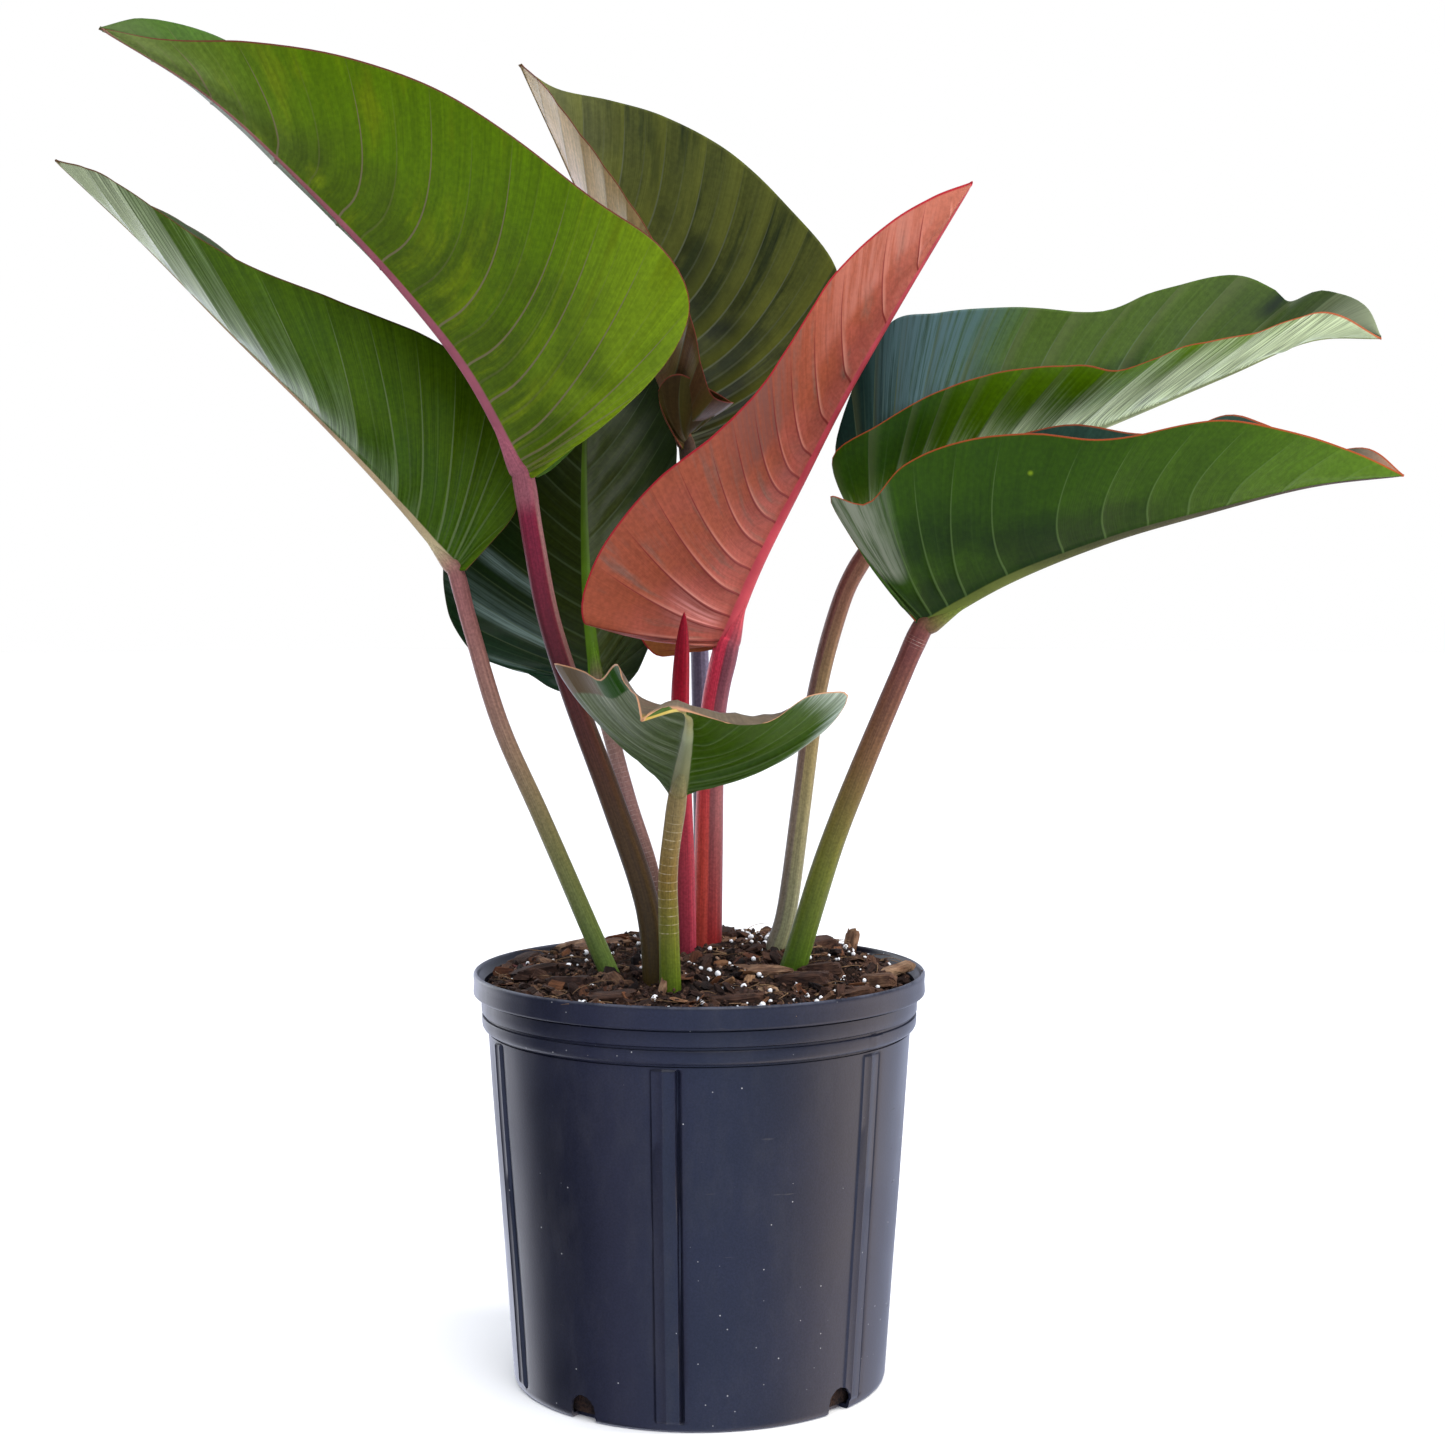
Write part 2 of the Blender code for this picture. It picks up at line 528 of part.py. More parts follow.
def main():
    clear_scene()
    make_pot()
    stalks = {}
    for name, leaf in LEAVES.items():
        points, faces = blade_solid(leaf)
        make_object(f"blade_{name}", points, faces, leaf["colour"])
        line = stalk_under(buried_line(leaf["stalk"]), points, leaf["radii"][1])
        stalks[name] = (line, leaf["radii"], False)
        points, faces = tube_solid(tube_rings(line, leaf["radii"], STALK_RINGS, STALK_SIDES))
        make_object(f"petiole_{name}", points, faces, leaf["stalk_colour"])
    line = buried_line(SPEAR_LINE)
    points, faces = tube_solid(tube_rings(line, SPEAR_RADII, STALK_RINGS, STALK_SIDES, pointed=True))
    make_object("spear_red", points, faces, SPEAR_COLOUR)
    stalks["spear"] = (line, SPEAR_RADII, True)
    make_mix(stalks)


main()
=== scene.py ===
import math

import bpy
import numpy as np
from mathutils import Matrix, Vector


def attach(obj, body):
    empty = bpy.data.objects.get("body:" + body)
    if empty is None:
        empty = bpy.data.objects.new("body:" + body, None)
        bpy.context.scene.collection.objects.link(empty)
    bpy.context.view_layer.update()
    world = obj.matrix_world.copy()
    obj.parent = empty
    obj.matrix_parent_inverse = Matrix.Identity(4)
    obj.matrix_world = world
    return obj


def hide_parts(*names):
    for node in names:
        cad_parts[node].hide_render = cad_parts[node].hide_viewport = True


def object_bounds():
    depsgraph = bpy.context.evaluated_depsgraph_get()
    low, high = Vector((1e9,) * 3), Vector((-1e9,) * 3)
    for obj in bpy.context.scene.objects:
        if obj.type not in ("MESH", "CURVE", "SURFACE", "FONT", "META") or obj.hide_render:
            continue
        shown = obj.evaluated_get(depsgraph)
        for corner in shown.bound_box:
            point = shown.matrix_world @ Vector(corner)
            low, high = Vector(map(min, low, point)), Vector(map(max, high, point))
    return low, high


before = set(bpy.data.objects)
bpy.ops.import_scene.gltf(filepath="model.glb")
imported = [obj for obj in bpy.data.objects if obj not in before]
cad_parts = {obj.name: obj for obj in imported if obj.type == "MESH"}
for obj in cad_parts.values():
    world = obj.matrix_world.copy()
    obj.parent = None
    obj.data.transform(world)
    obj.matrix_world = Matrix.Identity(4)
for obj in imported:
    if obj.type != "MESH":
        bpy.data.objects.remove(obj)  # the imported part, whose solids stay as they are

mm = 0.001  # a millimetre in metres
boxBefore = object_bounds()
print("stage 1: the packed part is loaded,", len(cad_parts), "nodes")


# Unit vectors: each vector divided by its own length.
def unit(vectors):
    return vectors / np.maximum(np.linalg.norm(vectors, axis=-1, keepdims=True), 1e-9)


# Smooth rise from 0 to 1: t^2 (3 - 2 t), with t the share of the way from low to high.
def rise(value, low, high):
    t = np.clip((value - low) / (high - low), 0.0, 1.0)
    return t * t * (3 - 2 * t)


# Smooth line through points (Catmull-Rom), read at fractions of its own length:
# p(t) = (2b + (c-a)t + (2a-5b+4c-d)t^2 + (3b-a-3c+d)t^3) / 2 between b and c.
def alongLine(points, fractions, samples=700):
    p = np.asarray(points, float)
    ends = np.vstack([2 * p[0] - p[1], p, 2 * p[-1] - p[-2]])
    where = np.linspace(0, len(p) - 1, samples)
    cell = np.minimum(where.astype(int), len(p) - 2)
    t = (where - cell)[:, None]
    a, b, c, d = ends[cell], ends[cell + 1], ends[cell + 2], ends[cell + 3]
    line = 0.5 * (2 * b + (c - a) * t + (2 * a - 5 * b + 4 * c - d) * t**2 + (3 * b - a - 3 * c + d) * t**3)
    run = np.concatenate([[0.0], np.cumsum(np.linalg.norm(np.diff(line, axis=0), axis=1))])
    run /= run[-1]
    return np.stack([np.interp(fractions, run, line[:, k]) for k in range(3)], -1)


# Value noise: random numbers on a square lattice, joined by smooth steps, 0 to 1.
def latticeNoise(x, y, seed, cells=128):
    table = np.random.default_rng(seed).random((cells, cells))
    i, j = np.floor(x).astype(int), np.floor(y).astype(int)
    u, v = rise(x - i, 0, 1), rise(y - j, 0, 1)
    i0, i1, j0, j1 = i % cells, (i + 1) % cells, j % cells, (j + 1) % cells
    low = table[i0, j0] * (1 - u) + table[i1, j0] * u
    high = table[i0, j1] * (1 - u) + table[i1, j1] * u
    return low * (1 - v) + high * v


# Quads of a grid counted row by row: corners (i,j) (i,j+1) (i+1,j+1) (i+1,j).
def gridQuads(rows, columns, wrap=False):
    i, j = np.meshgrid(np.arange(rows - 1), np.arange(columns if wrap else columns - 1), indexing="ij")
    a = i * columns + j
    b = i * columns + (j + 1) % columns
    return np.stack([a, b, b + columns, a + columns], -1).reshape(-1, 4)


# Ring of triangles from one middle point to a closed ring of points.
def capTriangles(middle, ring, inward=False):
    following = np.roll(ring, -1)
    first, second = (following, ring) if inward else (ring, following)
    return np.stack([np.full(len(ring), middle), first, second], -1)


# A mesh from points in mm and arrays of faces, kept inside the CAD model's box, with named values on its
# points. Creases sharper than sharpFrom degrees stay sharp.
def makePiece(name, points, faces, finish, slot, values=None, smooth=True, sharpFrom=None):
    mesh = bpy.data.meshes.new(name)
    rows = [row for group in faces for row in np.asarray(group).tolist()]
    mesh.from_pydata(np.clip(np.asarray(points, float) * mm, *boxBefore).tolist(), [], rows)
    for key, value in (values or {}).items():
        vector = np.ndim(value) == 2
        layer = mesh.attributes.new(key, "FLOAT_VECTOR" if vector else "FLOAT", "POINT")
        layer.data.foreach_set("vector" if vector else "value", np.asarray(value, np.float32).ravel())
    if smooth:
        mesh.shade_smooth()
    if sharpFrom:
        mesh.set_sharp_from_angle(angle=math.radians(sharpFrom))
    mesh.materials.append(finish)
    piece = bpy.data.objects.new(name, mesh)
    bpy.context.scene.collection.objects.link(piece)
    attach(piece, "root")
    return piece


# Shader nodes: one call makes a node, sets it and feeds its sockets.
def addNode(tree, kind, feeds=(), out=0, **settings):
    made = tree.nodes.new("ShaderNode" + kind)
    for key, value in settings.items():
        setattr(made, key, value)
    for key, value in (feeds.items() if isinstance(feeds, dict) else enumerate(feeds)):
        if isinstance(value, bpy.types.NodeSocket):
            tree.links.new(value, made.inputs[key])
        elif value is not None:
            made.inputs[key].default_value = value
    return made.outputs[out]


# One math node: a and b under the operation.
def calc(tree, operation, a, b=None):
    return addNode(tree, "Math", (a, b), operation=operation)


# Product, sum and difference of two values.
def times(tree, a, b):
    return calc(tree, "MULTIPLY", a, b)


def plus(tree, a, b):
    return calc(tree, "ADD", a, b)


def minus(tree, a, b):
    return calc(tree, "SUBTRACT", a, b)


# A value carried from low..high to toLow..toHigh along the smooth step 3 t^2 - 2 t^3.
def mapped(tree, value, low, high, toLow=0.0, toHigh=1.0):
    return addNode(tree, "MapRange", (value, low, high, toLow, toHigh), interpolation_type="SMOOTHSTEP")


# Colour a (1 - f) + b f, or a joined to b in another mode by the share f.
def mixColour(tree, factor, a, b, mode="MIX"):
    a, b = [(*c, 1.0) if isinstance(c, tuple) else c for c in (a, b)]
    return addNode(tree, "Mix", {0: factor, 6: a, 7: b}, 2, data_type="RGBA", blend_type=mode)


# The vector (x, y, z).
def combined(tree, x, y, z):
    return addNode(tree, "CombineXYZ", (x, y, z))


# Noise at a place: 0 to 1, and about 0.5 in the mean.
def noiseAt(tree, place, scale, detail=2.0, roughness=0.5):
    feeds = {"Vector": place, "Scale": scale, "Detail": detail, "Roughness": roughness}
    return addNode(tree, "TexNoise", feeds)


# A value, or a vector, that the mesh keeps on its points.
def readValue(tree, name):
    return addNode(tree, "Attribute", out=2, attribute_name=name)


def readVector(tree, name):
    return addNode(tree, "Attribute", out=1, attribute_name=name)


# The place on the object, in metres.
def objectPlace(tree):
    return addNode(tree, "TexCoord", out=3)


# A place multiplied axis by axis.
def stretched(tree, place, scale):
    return addNode(tree, "Mapping", {"Vector": place, "Scale": scale})


# Colour by value: straight lines between stops of (value, colour).
def rampColour(tree, value, stops):
    made = tree.nodes.new("ShaderNodeValToRGB")
    ramp = made.color_ramp
    while len(ramp.elements) < len(stops):
        ramp.elements.new(0.5)
    for element, (place, colour) in zip(ramp.elements, stops):
        element.position = place
        element.color = (*colour, 1.0)
    tree.links.new(value, made.inputs[0])
    return made.outputs[0]


# Lighter and darker by a share, for a noise from 0.28 to 0.72.
def shade(tree, colour, value, amount):
    grey = mapped(tree, value, 0.28, 0.72, 1 - amount, 1 + amount)
    return mixColour(tree, 1.0, colour, grey, "MULTIPLY")


# Small round spots: a share of the cells of a Voronoi pattern, full near each cell's middle, gone by far.
def spotsAt(tree, place, scale, share, near, far):
    cells = tree.nodes.new("ShaderNodeTexVoronoi")
    cells.inputs["Scale"].default_value = scale
    tree.links.new(place, cells.inputs["Vector"])
    picked = calc(tree, "LESS_THAN", addNode(tree, "SeparateColor", [cells.outputs["Color"]]), share)
    return times(tree, picked, mapped(tree, cells.outputs["Distance"], near, far, 0.8, 0.0))


# A new material, with what is the same all over it set on the shader's own sockets.
def newFinish(name, coat=0.0, coatRoughness=0.2, specular=0.5):
    finish = bpy.data.materials.new(name)
    finish.use_nodes = True
    shader = finish.node_tree.nodes["Principled BSDF"]
    shader.inputs["Coat Weight"].default_value = coat
    shader.inputs["Coat Roughness"].default_value = coatRoughness
    shader.inputs["Specular IOR Level"].default_value = specular
    return finish, finish.node_tree, shader


# Colour and roughness led to the shader, and a bump of height times distance in metres.
def feed(tree, shader, colour, roughness, height=None, distance=0.0003, strength=0.5):
    tree.links.new(colour, shader.inputs["Base Color"])
    if isinstance(roughness, bpy.types.NodeSocket):
        tree.links.new(roughness, shader.inputs["Roughness"])
    else:
        shader.inputs["Roughness"].default_value = roughness
    if height is not None:
        bump = addNode(tree, "Bump", {"Strength": strength, "Distance": distance, "Height": height})
        tree.links.new(bump, shader.inputs["Normal"])


# Camera, floor and light. The sky is bright overhead and dim at the camera's side, as in a studio. What is
# mirrored from low down is a ring of soft boxes: share of a turn from the back by the left, and its colour.
studio = dict(
    cameraPlace=(0.013, -1.42, 0.459), pitch=3.6, lens=63.26, sensor=36.0, clipStart=0.05,
    backdrop=(1.0, 1.0, 1.0), overhead=(1.25, 1.275, 1.35), overheadFrom=(0.35, 0.75),
    frontSky=(0.16, 0.20, 0.30), backSky=(0.55, 0.58, 0.62), backFrom=(0.30, 0.85),
    floorColour=(0.90, 0.90, 0.90), floorRadius=12.0, floorCorners=96, floorHeight=-0.0002,
    sunTurn=(40.0, 0.0, 18.0), sunStrength=1.9, sunAngle=50.0,
    lamps=[
        dict(name="right", place=(1.6, -0.15, 0.75), aim=(0, 0, 0.25), size=(0.6, 1.7), power=30,
             colour=(1.0, 0.96, 0.90), mirrored=False),
        dict(name="left", place=(-1.3, 1.1, 0.9), aim=(0, 0, 0.3), size=(0.6, 1.4), power=9,
             colour=(0.92, 0.96, 1.0), mirrored=True),
    ],
    mirroredScale=3.6, mirroredTop=0.35,
    mirrored=[(0.0, (0.36, 0.38, 0.50)), (0.06, (0.46, 0.49, 0.63)), (0.13, (0.90, 0.92, 1.0)),
              (0.175, (0.40, 0.40, 0.50)), (0.20, (0.0, 0.0, 0.0)), (0.29, (0.0, 0.0, 0.0)),
              (0.36, (0.32, 0.33, 0.55)), (0.53, (0.37, 0.47, 0.74)), (0.64, (0.36, 0.40, 0.54)),
              (0.73, (0.98, 0.84, 0.78)), (0.79, (0.92, 0.82, 0.82)), (0.87, (0.33, 0.36, 0.47)),
              (0.96, (0.34, 0.37, 0.48)), (1.0, (0.36, 0.38, 0.50))],
)


# The camera, level but for its pitch downward.
def makeCamera(s):
    scene = bpy.context.scene
    camera = bpy.data.objects.new("camera", bpy.data.cameras.new("camera"))
    camera.data.lens = s["lens"]
    camera.data.sensor_width = s["sensor"]
    camera.data.clip_start = s["clipStart"]
    camera.location = s["cameraPlace"]
    camera.rotation_euler = (math.radians(90 - s["pitch"]), 0, 0)
    scene.collection.objects.link(camera)
    scene.camera = camera


# A light of one kind, placed and turned.
def addLight(name, kind, strength, place, turn):
    light = bpy.data.lights.new(name, kind)
    light.energy = strength
    holder = bpy.data.objects.new(name, light)
    holder.location = place
    holder.rotation_euler = turn
    bpy.context.scene.collection.objects.link(holder)
    return light, holder


# Oblong soft boxes, each turned to its aim, and a wide sun.
def makeLamps(s):
    for lamp in s["lamps"]:
        ahead = Vector(lamp["aim"]) - Vector(lamp["place"])
        turn = ahead.to_track_quat("-Z", "Y").to_euler()
        light, holder = addLight(lamp["name"], "AREA", lamp["power"], lamp["place"], turn)
        light.shape = "RECTANGLE"
        light.size, light.size_y = lamp["size"]
        light.color = lamp["colour"]
        holder.visible_glossy = lamp["mirrored"]
    turn = [math.radians(angle) for angle in s["sunTurn"]]
    sun = addLight("sun", "SUN", s["sunStrength"], (0, 0, 0), turn)[0]
    sun.angle = math.radians(s["sunAngle"])


# The sky by direction (x, y, z): front to back by y, overhead by z, and for glossy rays from low down the
# ring, whose place is atan2(x, -y) / 2 pi + 1/2. The camera sees the plain backdrop.
def makeSky(s):
    world = bpy.data.worlds.new("soft studio")
    world.use_nodes = True
    bpy.context.scene.world = world
    tree = world.node_tree
    direction = addNode(tree, "TexCoord", out=0)
    sideways, ahead, height = [addNode(tree, "SeparateXYZ", [direction], out) for out in (0, 1, 2)]
    around = mixColour(tree, mapped(tree, ahead, *s["backFrom"]), s["frontSky"], s["backSky"])
    sky = mixColour(tree, mapped(tree, height, *s["overheadFrom"]), around, s["overhead"])
    turn = calc(tree, "ARCTAN2", sideways, times(tree, ahead, -1.0))
    turn = plus(tree, calc(tree, "DIVIDE", turn, 2 * math.pi), 0.5)
    ring = rampColour(tree, turn, s["mirrored"])
    ring = mixColour(tree, 1.0, ring, (s["mirroredScale"],) * 3, "MULTIPLY")
    seen, glossy = [addNode(tree, "LightPath", out=out) for out in ("Is Camera Ray", "Is Glossy Ray")]
    low = times(tree, glossy, mapped(tree, height, 0.0, s["mirroredTop"], 1.0, 0.0))
    sky = mixColour(tree, low, sky, ring)
    background = tree.nodes["Background"]
    tree.links.new(mixColour(tree, seen, sky, s["backdrop"]), background.inputs[0])
    background.inputs[1].default_value = 1.0


# The floor: a pale round plate, which glossy surfaces don't mirror.
def makeFloor(s):
    angle = np.linspace(0, 2 * math.pi, s["floorCorners"], endpoint=False)
    ring = np.stack([np.cos(angle), np.sin(angle), 0 * angle], -1) * s["floorRadius"]
    mesh = bpy.data.meshes.new("floor")
    mesh.from_pydata((ring + (0, 0, s["floorHeight"])).tolist(), [], [list(range(len(ring)))])
    finish, tree, shader = newFinish("floor", specular=0.1)
    colour = shade(tree, s["floorColour"], noiseAt(tree, objectPlace(tree), 3.0), 0.01)
    feed(tree, shader, colour, 0.95)
    mesh.materials.append(finish)
    floor = bpy.data.objects.new("floor", mesh)
    floor.visible_glossy = False
    bpy.context.scene.collection.objects.link(floor)


makeCamera(studio)
makeLamps(studio)
makeSky(studio)
makeFloor(studio)
bpy.context.scene.view_settings.view_transform = "Standard"
print("stage 2: camera, floor and lights")


# The leaves. Stalk, rib and margins are lines through points in mm, each from the stalk to the tip; left and
# right are as seen on the upper side with the tip up. A vein joins a share of the rib to a share of the
# margin. Colours are linear: inner by the rib, outer by the margin, tip from tipStart on, lobe and lobeOuter
# up to vein lobeEnd, and patches where a noise passes patchLevel. A right half may have a set of its own.
# The glow on each vein's crest is a painted highlight, the silver a painted sheen, and the gloss bands are
# painted sheen and painted reflection, but a painted shade band and painted highlights on new_red, also a
# dark band by the tip on right_upper, and plain colour on small_front.
leafBuild = dict(
    thickness=0.7, cup=0.12, nearRib=(0.0, 0.35, 0.65, 0.9, 1.1, 1.5), columns=22,
    rowsPerVein=(0.0, 0.035, 0.08, 0.18, 0.32, 0.5, 0.68, 0.82, 0.92, 0.965),
)
leaves = {
    "tall_left": dict(
        slot="leaf_bright", pleat=0.9, wave=1.8, streaks=0.7, belly=dict(side=1, depth=6),
        ribWidth=(4.1, 0.5), ribEdge=0.80, radii=(7.2, 5.8), merge=34.0, sweep=0.44, hook=2.4,
        veins=[(0.006, 0.085), (0.013, 0.168), (0.024, 0.263), (0.05, 0.343), (0.124, 0.403),
               (0.191, 0.445), (0.266, 0.521), (0.401, 0.626), (0.498, 0.722), (0.636, 0.847), (0.78, 0.925),
               (0.90, 0.972)],
        stalk=[(-23, -48, 227), (-28, -47, 273), (-47, -45, 330), (-67, -43, 384), (-81, -42, 428),
               (-89, -41, 469), (-93, -42, 505)],
        rib=[(-93, -42, 505), (-121, -50, 558), (-153, -52, 600), (-201, -50, 652), (-260, -42, 707),
             (-323, -30, 747)],
        left=[(-88, -46, 505), (-66, -62, 521), (-40, -80, 539), (-13, -94, 567), (-4, -100, 594),
              (-19, -98, 622), (-55, -92, 648), (-100, -84, 683), (-140, -74, 708), (-189, -62, 726),
              (-239, -48, 736), (-286, -36, 740), (-323, -30, 747)],
        right=[(-87, -36, 505), (-78, -22, 512), (-61, -2, 533), (-52, 14, 561), (-63, 28, 602),
               (-90, 34, 639), (-130, 34, 672), (-174, 26, 702), (-216, 12, 724), (-247, 0, 740),
               (-270, -12, 749), (-300, -22, 754), (-323, -30, 747)],
        under=dict(inner=(0.046, 0.080, 0.001), outer=(0.062, 0.118, 0.0005), tip=(0.100, 0.135, 0.034),
                   tipStart=0.52, patch=(0.096, 0.140, 0.001), patchLevel=0.62,
                   lobeOuter=(0.112, 0.178, 0.004), lobeEnd=6.5),
        underRight=dict(inner=(0.085, 0.115, 0.055), outer=(0.05, 0.11, 0.012), tip=(0.10, 0.13, 0.05)),
        upper=dict(inner=(0.04, 0.09, 0.010), outer=(0.05, 0.11, 0.012), tip=(0.075, 0.12, 0.03)),
        vein=dict(colour=(0.13, 0.105, 0.055), width=0.85, strength=0.85, fine=0.2),
        ribColours=((0.27, 0.075, 0.105), (0.21, 0.06, 0.08), (0.19, 0.10, 0.07)),
        margin=dict(colour=(0.12, 0.018, 0.015), width=0.55, side=-1),
        stalkColours=((0.046, 0.030, 0.008), (0.050, 0.026, 0.010), (0.052, 0.008, 0.010),
                      (0.125, 0.009, 0.024)),
        knuckle=(0.21, 0.070, 0.085),
        # on the stalk's side toward +X: a painted highlight near the top and painted shadow lower down
        split=dict(colours=((0.03, 0.017, 0.006), (0.036, 0.018, 0.010), (0.23, 0.105, 0.10)), edge=-0.70),
    ),
    "low_left": dict(
        slot="leaf_green", pleat=1.0, wave=1.0, ribWidth=(3.1, 0.5), radii=(5.5, 4.6),
        sweep=0.42, hook=1.0,
        veins=[(0.004, 0.10), (0.009, 0.19), (0.015, 0.262), (0.032, 0.314), (0.058, 0.381),
               (0.115, 0.447), (0.168, 0.521), (0.276, 0.587), (0.366, 0.684), (0.464, 0.78), (0.562, 0.85),
               (0.68, 0.91), (0.80, 0.955), (0.91, 0.985)],
        stalk=[(-48, -27, 229), (-63, -24, 263), (-88, -19, 320), (-110, -14, 369), (-127, -9, 424),
               (-134, -6, 454)],
        rib=[(-134, -6, 454), (-171, 10, 496), (-215, 24, 541), (-263, 22, 588), (-309, 0, 637),
             (-347, -34, 676)],
        left=[(-129, -12, 455), (-115, -14, 470), (-101, -8, 489), (-97, 0, 522), (-111, 4, 552),
              (-145, 0, 581), (-198, -10, 603), (-241, -20, 619), (-271, -28, 635), (-302, -34, 656),
              (-324, -36, 669), (-347, -34, 676)],
        right=[(-130, 0, 456), (-123, 12, 469), (-117, 26, 492), (-123, 40, 521), (-141, 54, 550),
               (-177, 66, 582), (-221, 70, 606), (-257, 60, 627), (-278, 42, 642.5), (-293, 20, 651.5),
               (-318, -10, 663), (-347, -34, 676)],
        under=dict(inner=(0.030, 0.068, 0.001), outer=(0.040, 0.080, 0.001), tip=(0.07, 0.10, 0.04),
                   tipStart=0.45),
        upper=dict(inner=(0.03, 0.07, 0.012), outer=(0.04, 0.08, 0.015), tip=(0.11, 0.115, 0.045),
                   tipStart=0.35),
        # painted silvery sheen on the left half's underside
        paintedSilver=[
            dict(side=-1, layer="under", colour=(0.12, 0.165, 0.085), along=2.2, inner=0.9, streaky=0.8,
                 level=1.42, soft=0.40, banded=0.15, lines=0.6),
            dict(side=-1, layer="under", colour=(0.27, 0.31, 0.19), along=2.2, inner=0.35, streaky=0.8,
                 level=1.52, soft=0.35, banded=0.10, lines=0.6),
        ],
        vein=dict(colour=(0.11, 0.15, 0.06), width=0.85, strength=0.65, fine=0.14),
        ribColours=((0.40, 0.33, 0.19), (0.32, 0.21, 0.13), (0.18, 0.15, 0.08)),
        margin=dict(colour=(0.10, 0.04, 0.015), width=0.5),
        stalkColours=((0.085, 0.14, 0.026), (0.13, 0.125, 0.045), (0.19, 0.110, 0.080), (0.21, 0.085, 0.080)),
    ),
    "back_centre": dict(
        slot="leaf_olive", pleat=1.2, wave=1.2, streaks=0.7, ribWidth=(4.2, 0.6), radii=(6.0, 4.8),
        sweep=0.40, hook=1.0,
        veins=[(0.006, 0.09), (0.014, 0.18), (0.03, 0.26), (0.06, 0.33), (0.105, 0.40),
               (0.165, 0.47), (0.235, 0.54), (0.315, 0.61), (0.40, 0.68), (0.49, 0.75), (0.59, 0.82),
               (0.71, 0.89), (0.85, 0.955)],
        stalk=[(2, 50, 241), (2, 52, 286), (1, 54, 344), (0, 56, 394), (-2, 59, 461), (-6, 62, 524)],
        rib=[(-6, 62, 524), (-19, 70, 557), (-42, 74, 612), (-64, 70, 661), (-83, 60, 702),
             (-102, 44, 742)],
        left=[(-10, 56, 526), (-20, 43, 543), (-23, 32, 558), (-10, 20, 565), (20, 26, 549),
              (5, 12, 555), (-6, 2, 599), (-29, 0, 643), (-52, 8, 678), (-74, 20, 708), (-90, 34, 730),
              (-102, 44, 742)],
        right=[(0, 67, 526), (20, 74, 533), (53, 80, 554), (79, 84, 590), (80, 86, 631), (50, 86, 669),
               (17, 84, 699), (-20, 78, 718), (-51, 70, 726), (-80, 58, 730), (-95, 50, 737),
               (-102, 44, 742)],
        under=dict(inner=(0.54, 0.34, 0.18), outer=(0.64, 0.41, 0.20), tip=(0.64, 0.46, 0.26), tipStart=0.5,
                   lobe=(0.085, 0.040, 0.015), lobeEnd=9.5),
        underRight=dict(inner=(0.17, 0.10, 0.055), outer=(0.21, 0.15, 0.075), tip=(0.30, 0.22, 0.13),
                        lobe=(0.085, 0.040, 0.015), lobeEnd=5.5),
        upper=dict(inner=(0.030, 0.022, 0.008), outer=(0.045, 0.032, 0.011), tip=(0.05, 0.06, 0.015),
                   lobe=(0.050, 0.031, 0.010), lobeEnd=8.0),
        upperRight=dict(inner=(0.006, 0.009, 0.002), outer=(0.060, 0.068, 0.012), tip=(0.16, 0.17, 0.068),
                        tipStart=0.50, lobe=(0.016, 0.015, 0.005), lobeEnd=6.0, patch=(0.016, 0.022, 0.005),
                        patchLevel=0.60),
        vein=dict(colour=(0.085, 0.095, 0.055), width=1.0, strength=0.7, fine=0.3),
        # painted highlight on the crest beside each vein
        crestHighlight=dict(colour=(0.120, 0.128, 0.016), amount=0.28, width=0.65),
        ribColours=((0.10, 0.035, 0.02), (0.20, 0.13, 0.07), (0.30, 0.22, 0.13)),
        margin=dict(colour=(0.20, 0.045, 0.03), width=0.6, side=-1),
        stalkColours=((0.07, 0.06, 0.04), (0.10, 0.085, 0.10), (0.13, 0.11, 0.18), (0.05, 0.032, 0.022)),
    ),
    "back_low": dict(
        slot="leaf_dark", pleat=1.4, wave=1.0, ribWidth=(5.4, 1.1), radii=(5.2, 4.4),
        sweep=0.10, hook=0.0,
        veins=[(0.004, 0.08), (0.008, 0.16), (0.014, 0.24), (0.03, 0.32), (0.06, 0.39),
               (0.12, 0.455), (0.20, 0.53), (0.29, 0.605), (0.38, 0.68), (0.47, 0.74), (0.57, 0.80),
               (0.68, 0.87), (0.80, 0.93), (0.90, 0.97)],
        stalk=[(-21, 10, 237), (-28, 14, 284), (-40, 19, 322), (-49, 23, 355), (-58, 28, 388)],
        rib=[(-58, 28, 388), (-64, 42, 432), (-67, 58, 478), (-68, 76, 525), (-67, 92, 567),
             (-64, 104, 604)],
        left=[(-64, 26, 389), (-79, 22, 386), (-101, 28, 397), (-126, 32, 405), (-143, 42, 425),
              (-149, 54, 455), (-145, 68, 496), (-129, 82, 537), (-102, 94, 574), (-80, 102, 596),
              (-64, 104, 604)],
        right=[(-52, 26, 389), (-41, 22, 391), (-30, 28, 409), (-23, 40, 438), (-19, 54, 472),
               (-14, 70, 513), (-17, 84, 552), (-33, 96, 582), (-51, 102, 599), (-64, 104, 604)],
        under=dict(inner=(0.05, 0.09, 0.03), outer=(0.04, 0.08, 0.03), tip=(0.05, 0.09, 0.03)),
        upper=dict(inner=(0.016, 0.024, 0.003), outer=(0.007, 0.018, 0.003), tip=(0.016, 0.026, 0.006),
                   lobe=(0.006, 0.024, 0.011), lobeEnd=6.0),
        upperRight=dict(inner=(0.038, 0.052, 0.012), outer=(0.010, 0.021, 0.002), tip=(0.03, 0.04, 0.01)),
        # painted reflection in bands on the left half's upper side
        paintedBands=dict(side=-1, layer="upper", colour=(0.19, 0.27, 0.25),
                   bands=[(5.2, 0.95, 0.25, 1.0, 0.25), (4.8, 0.38, 0.30, 0.86, 0.7),
                          (6.6, 0.36, 0.36, 0.80, 0.7), (2.8, 0.4, 0.55, 0.9, 0.5)]),
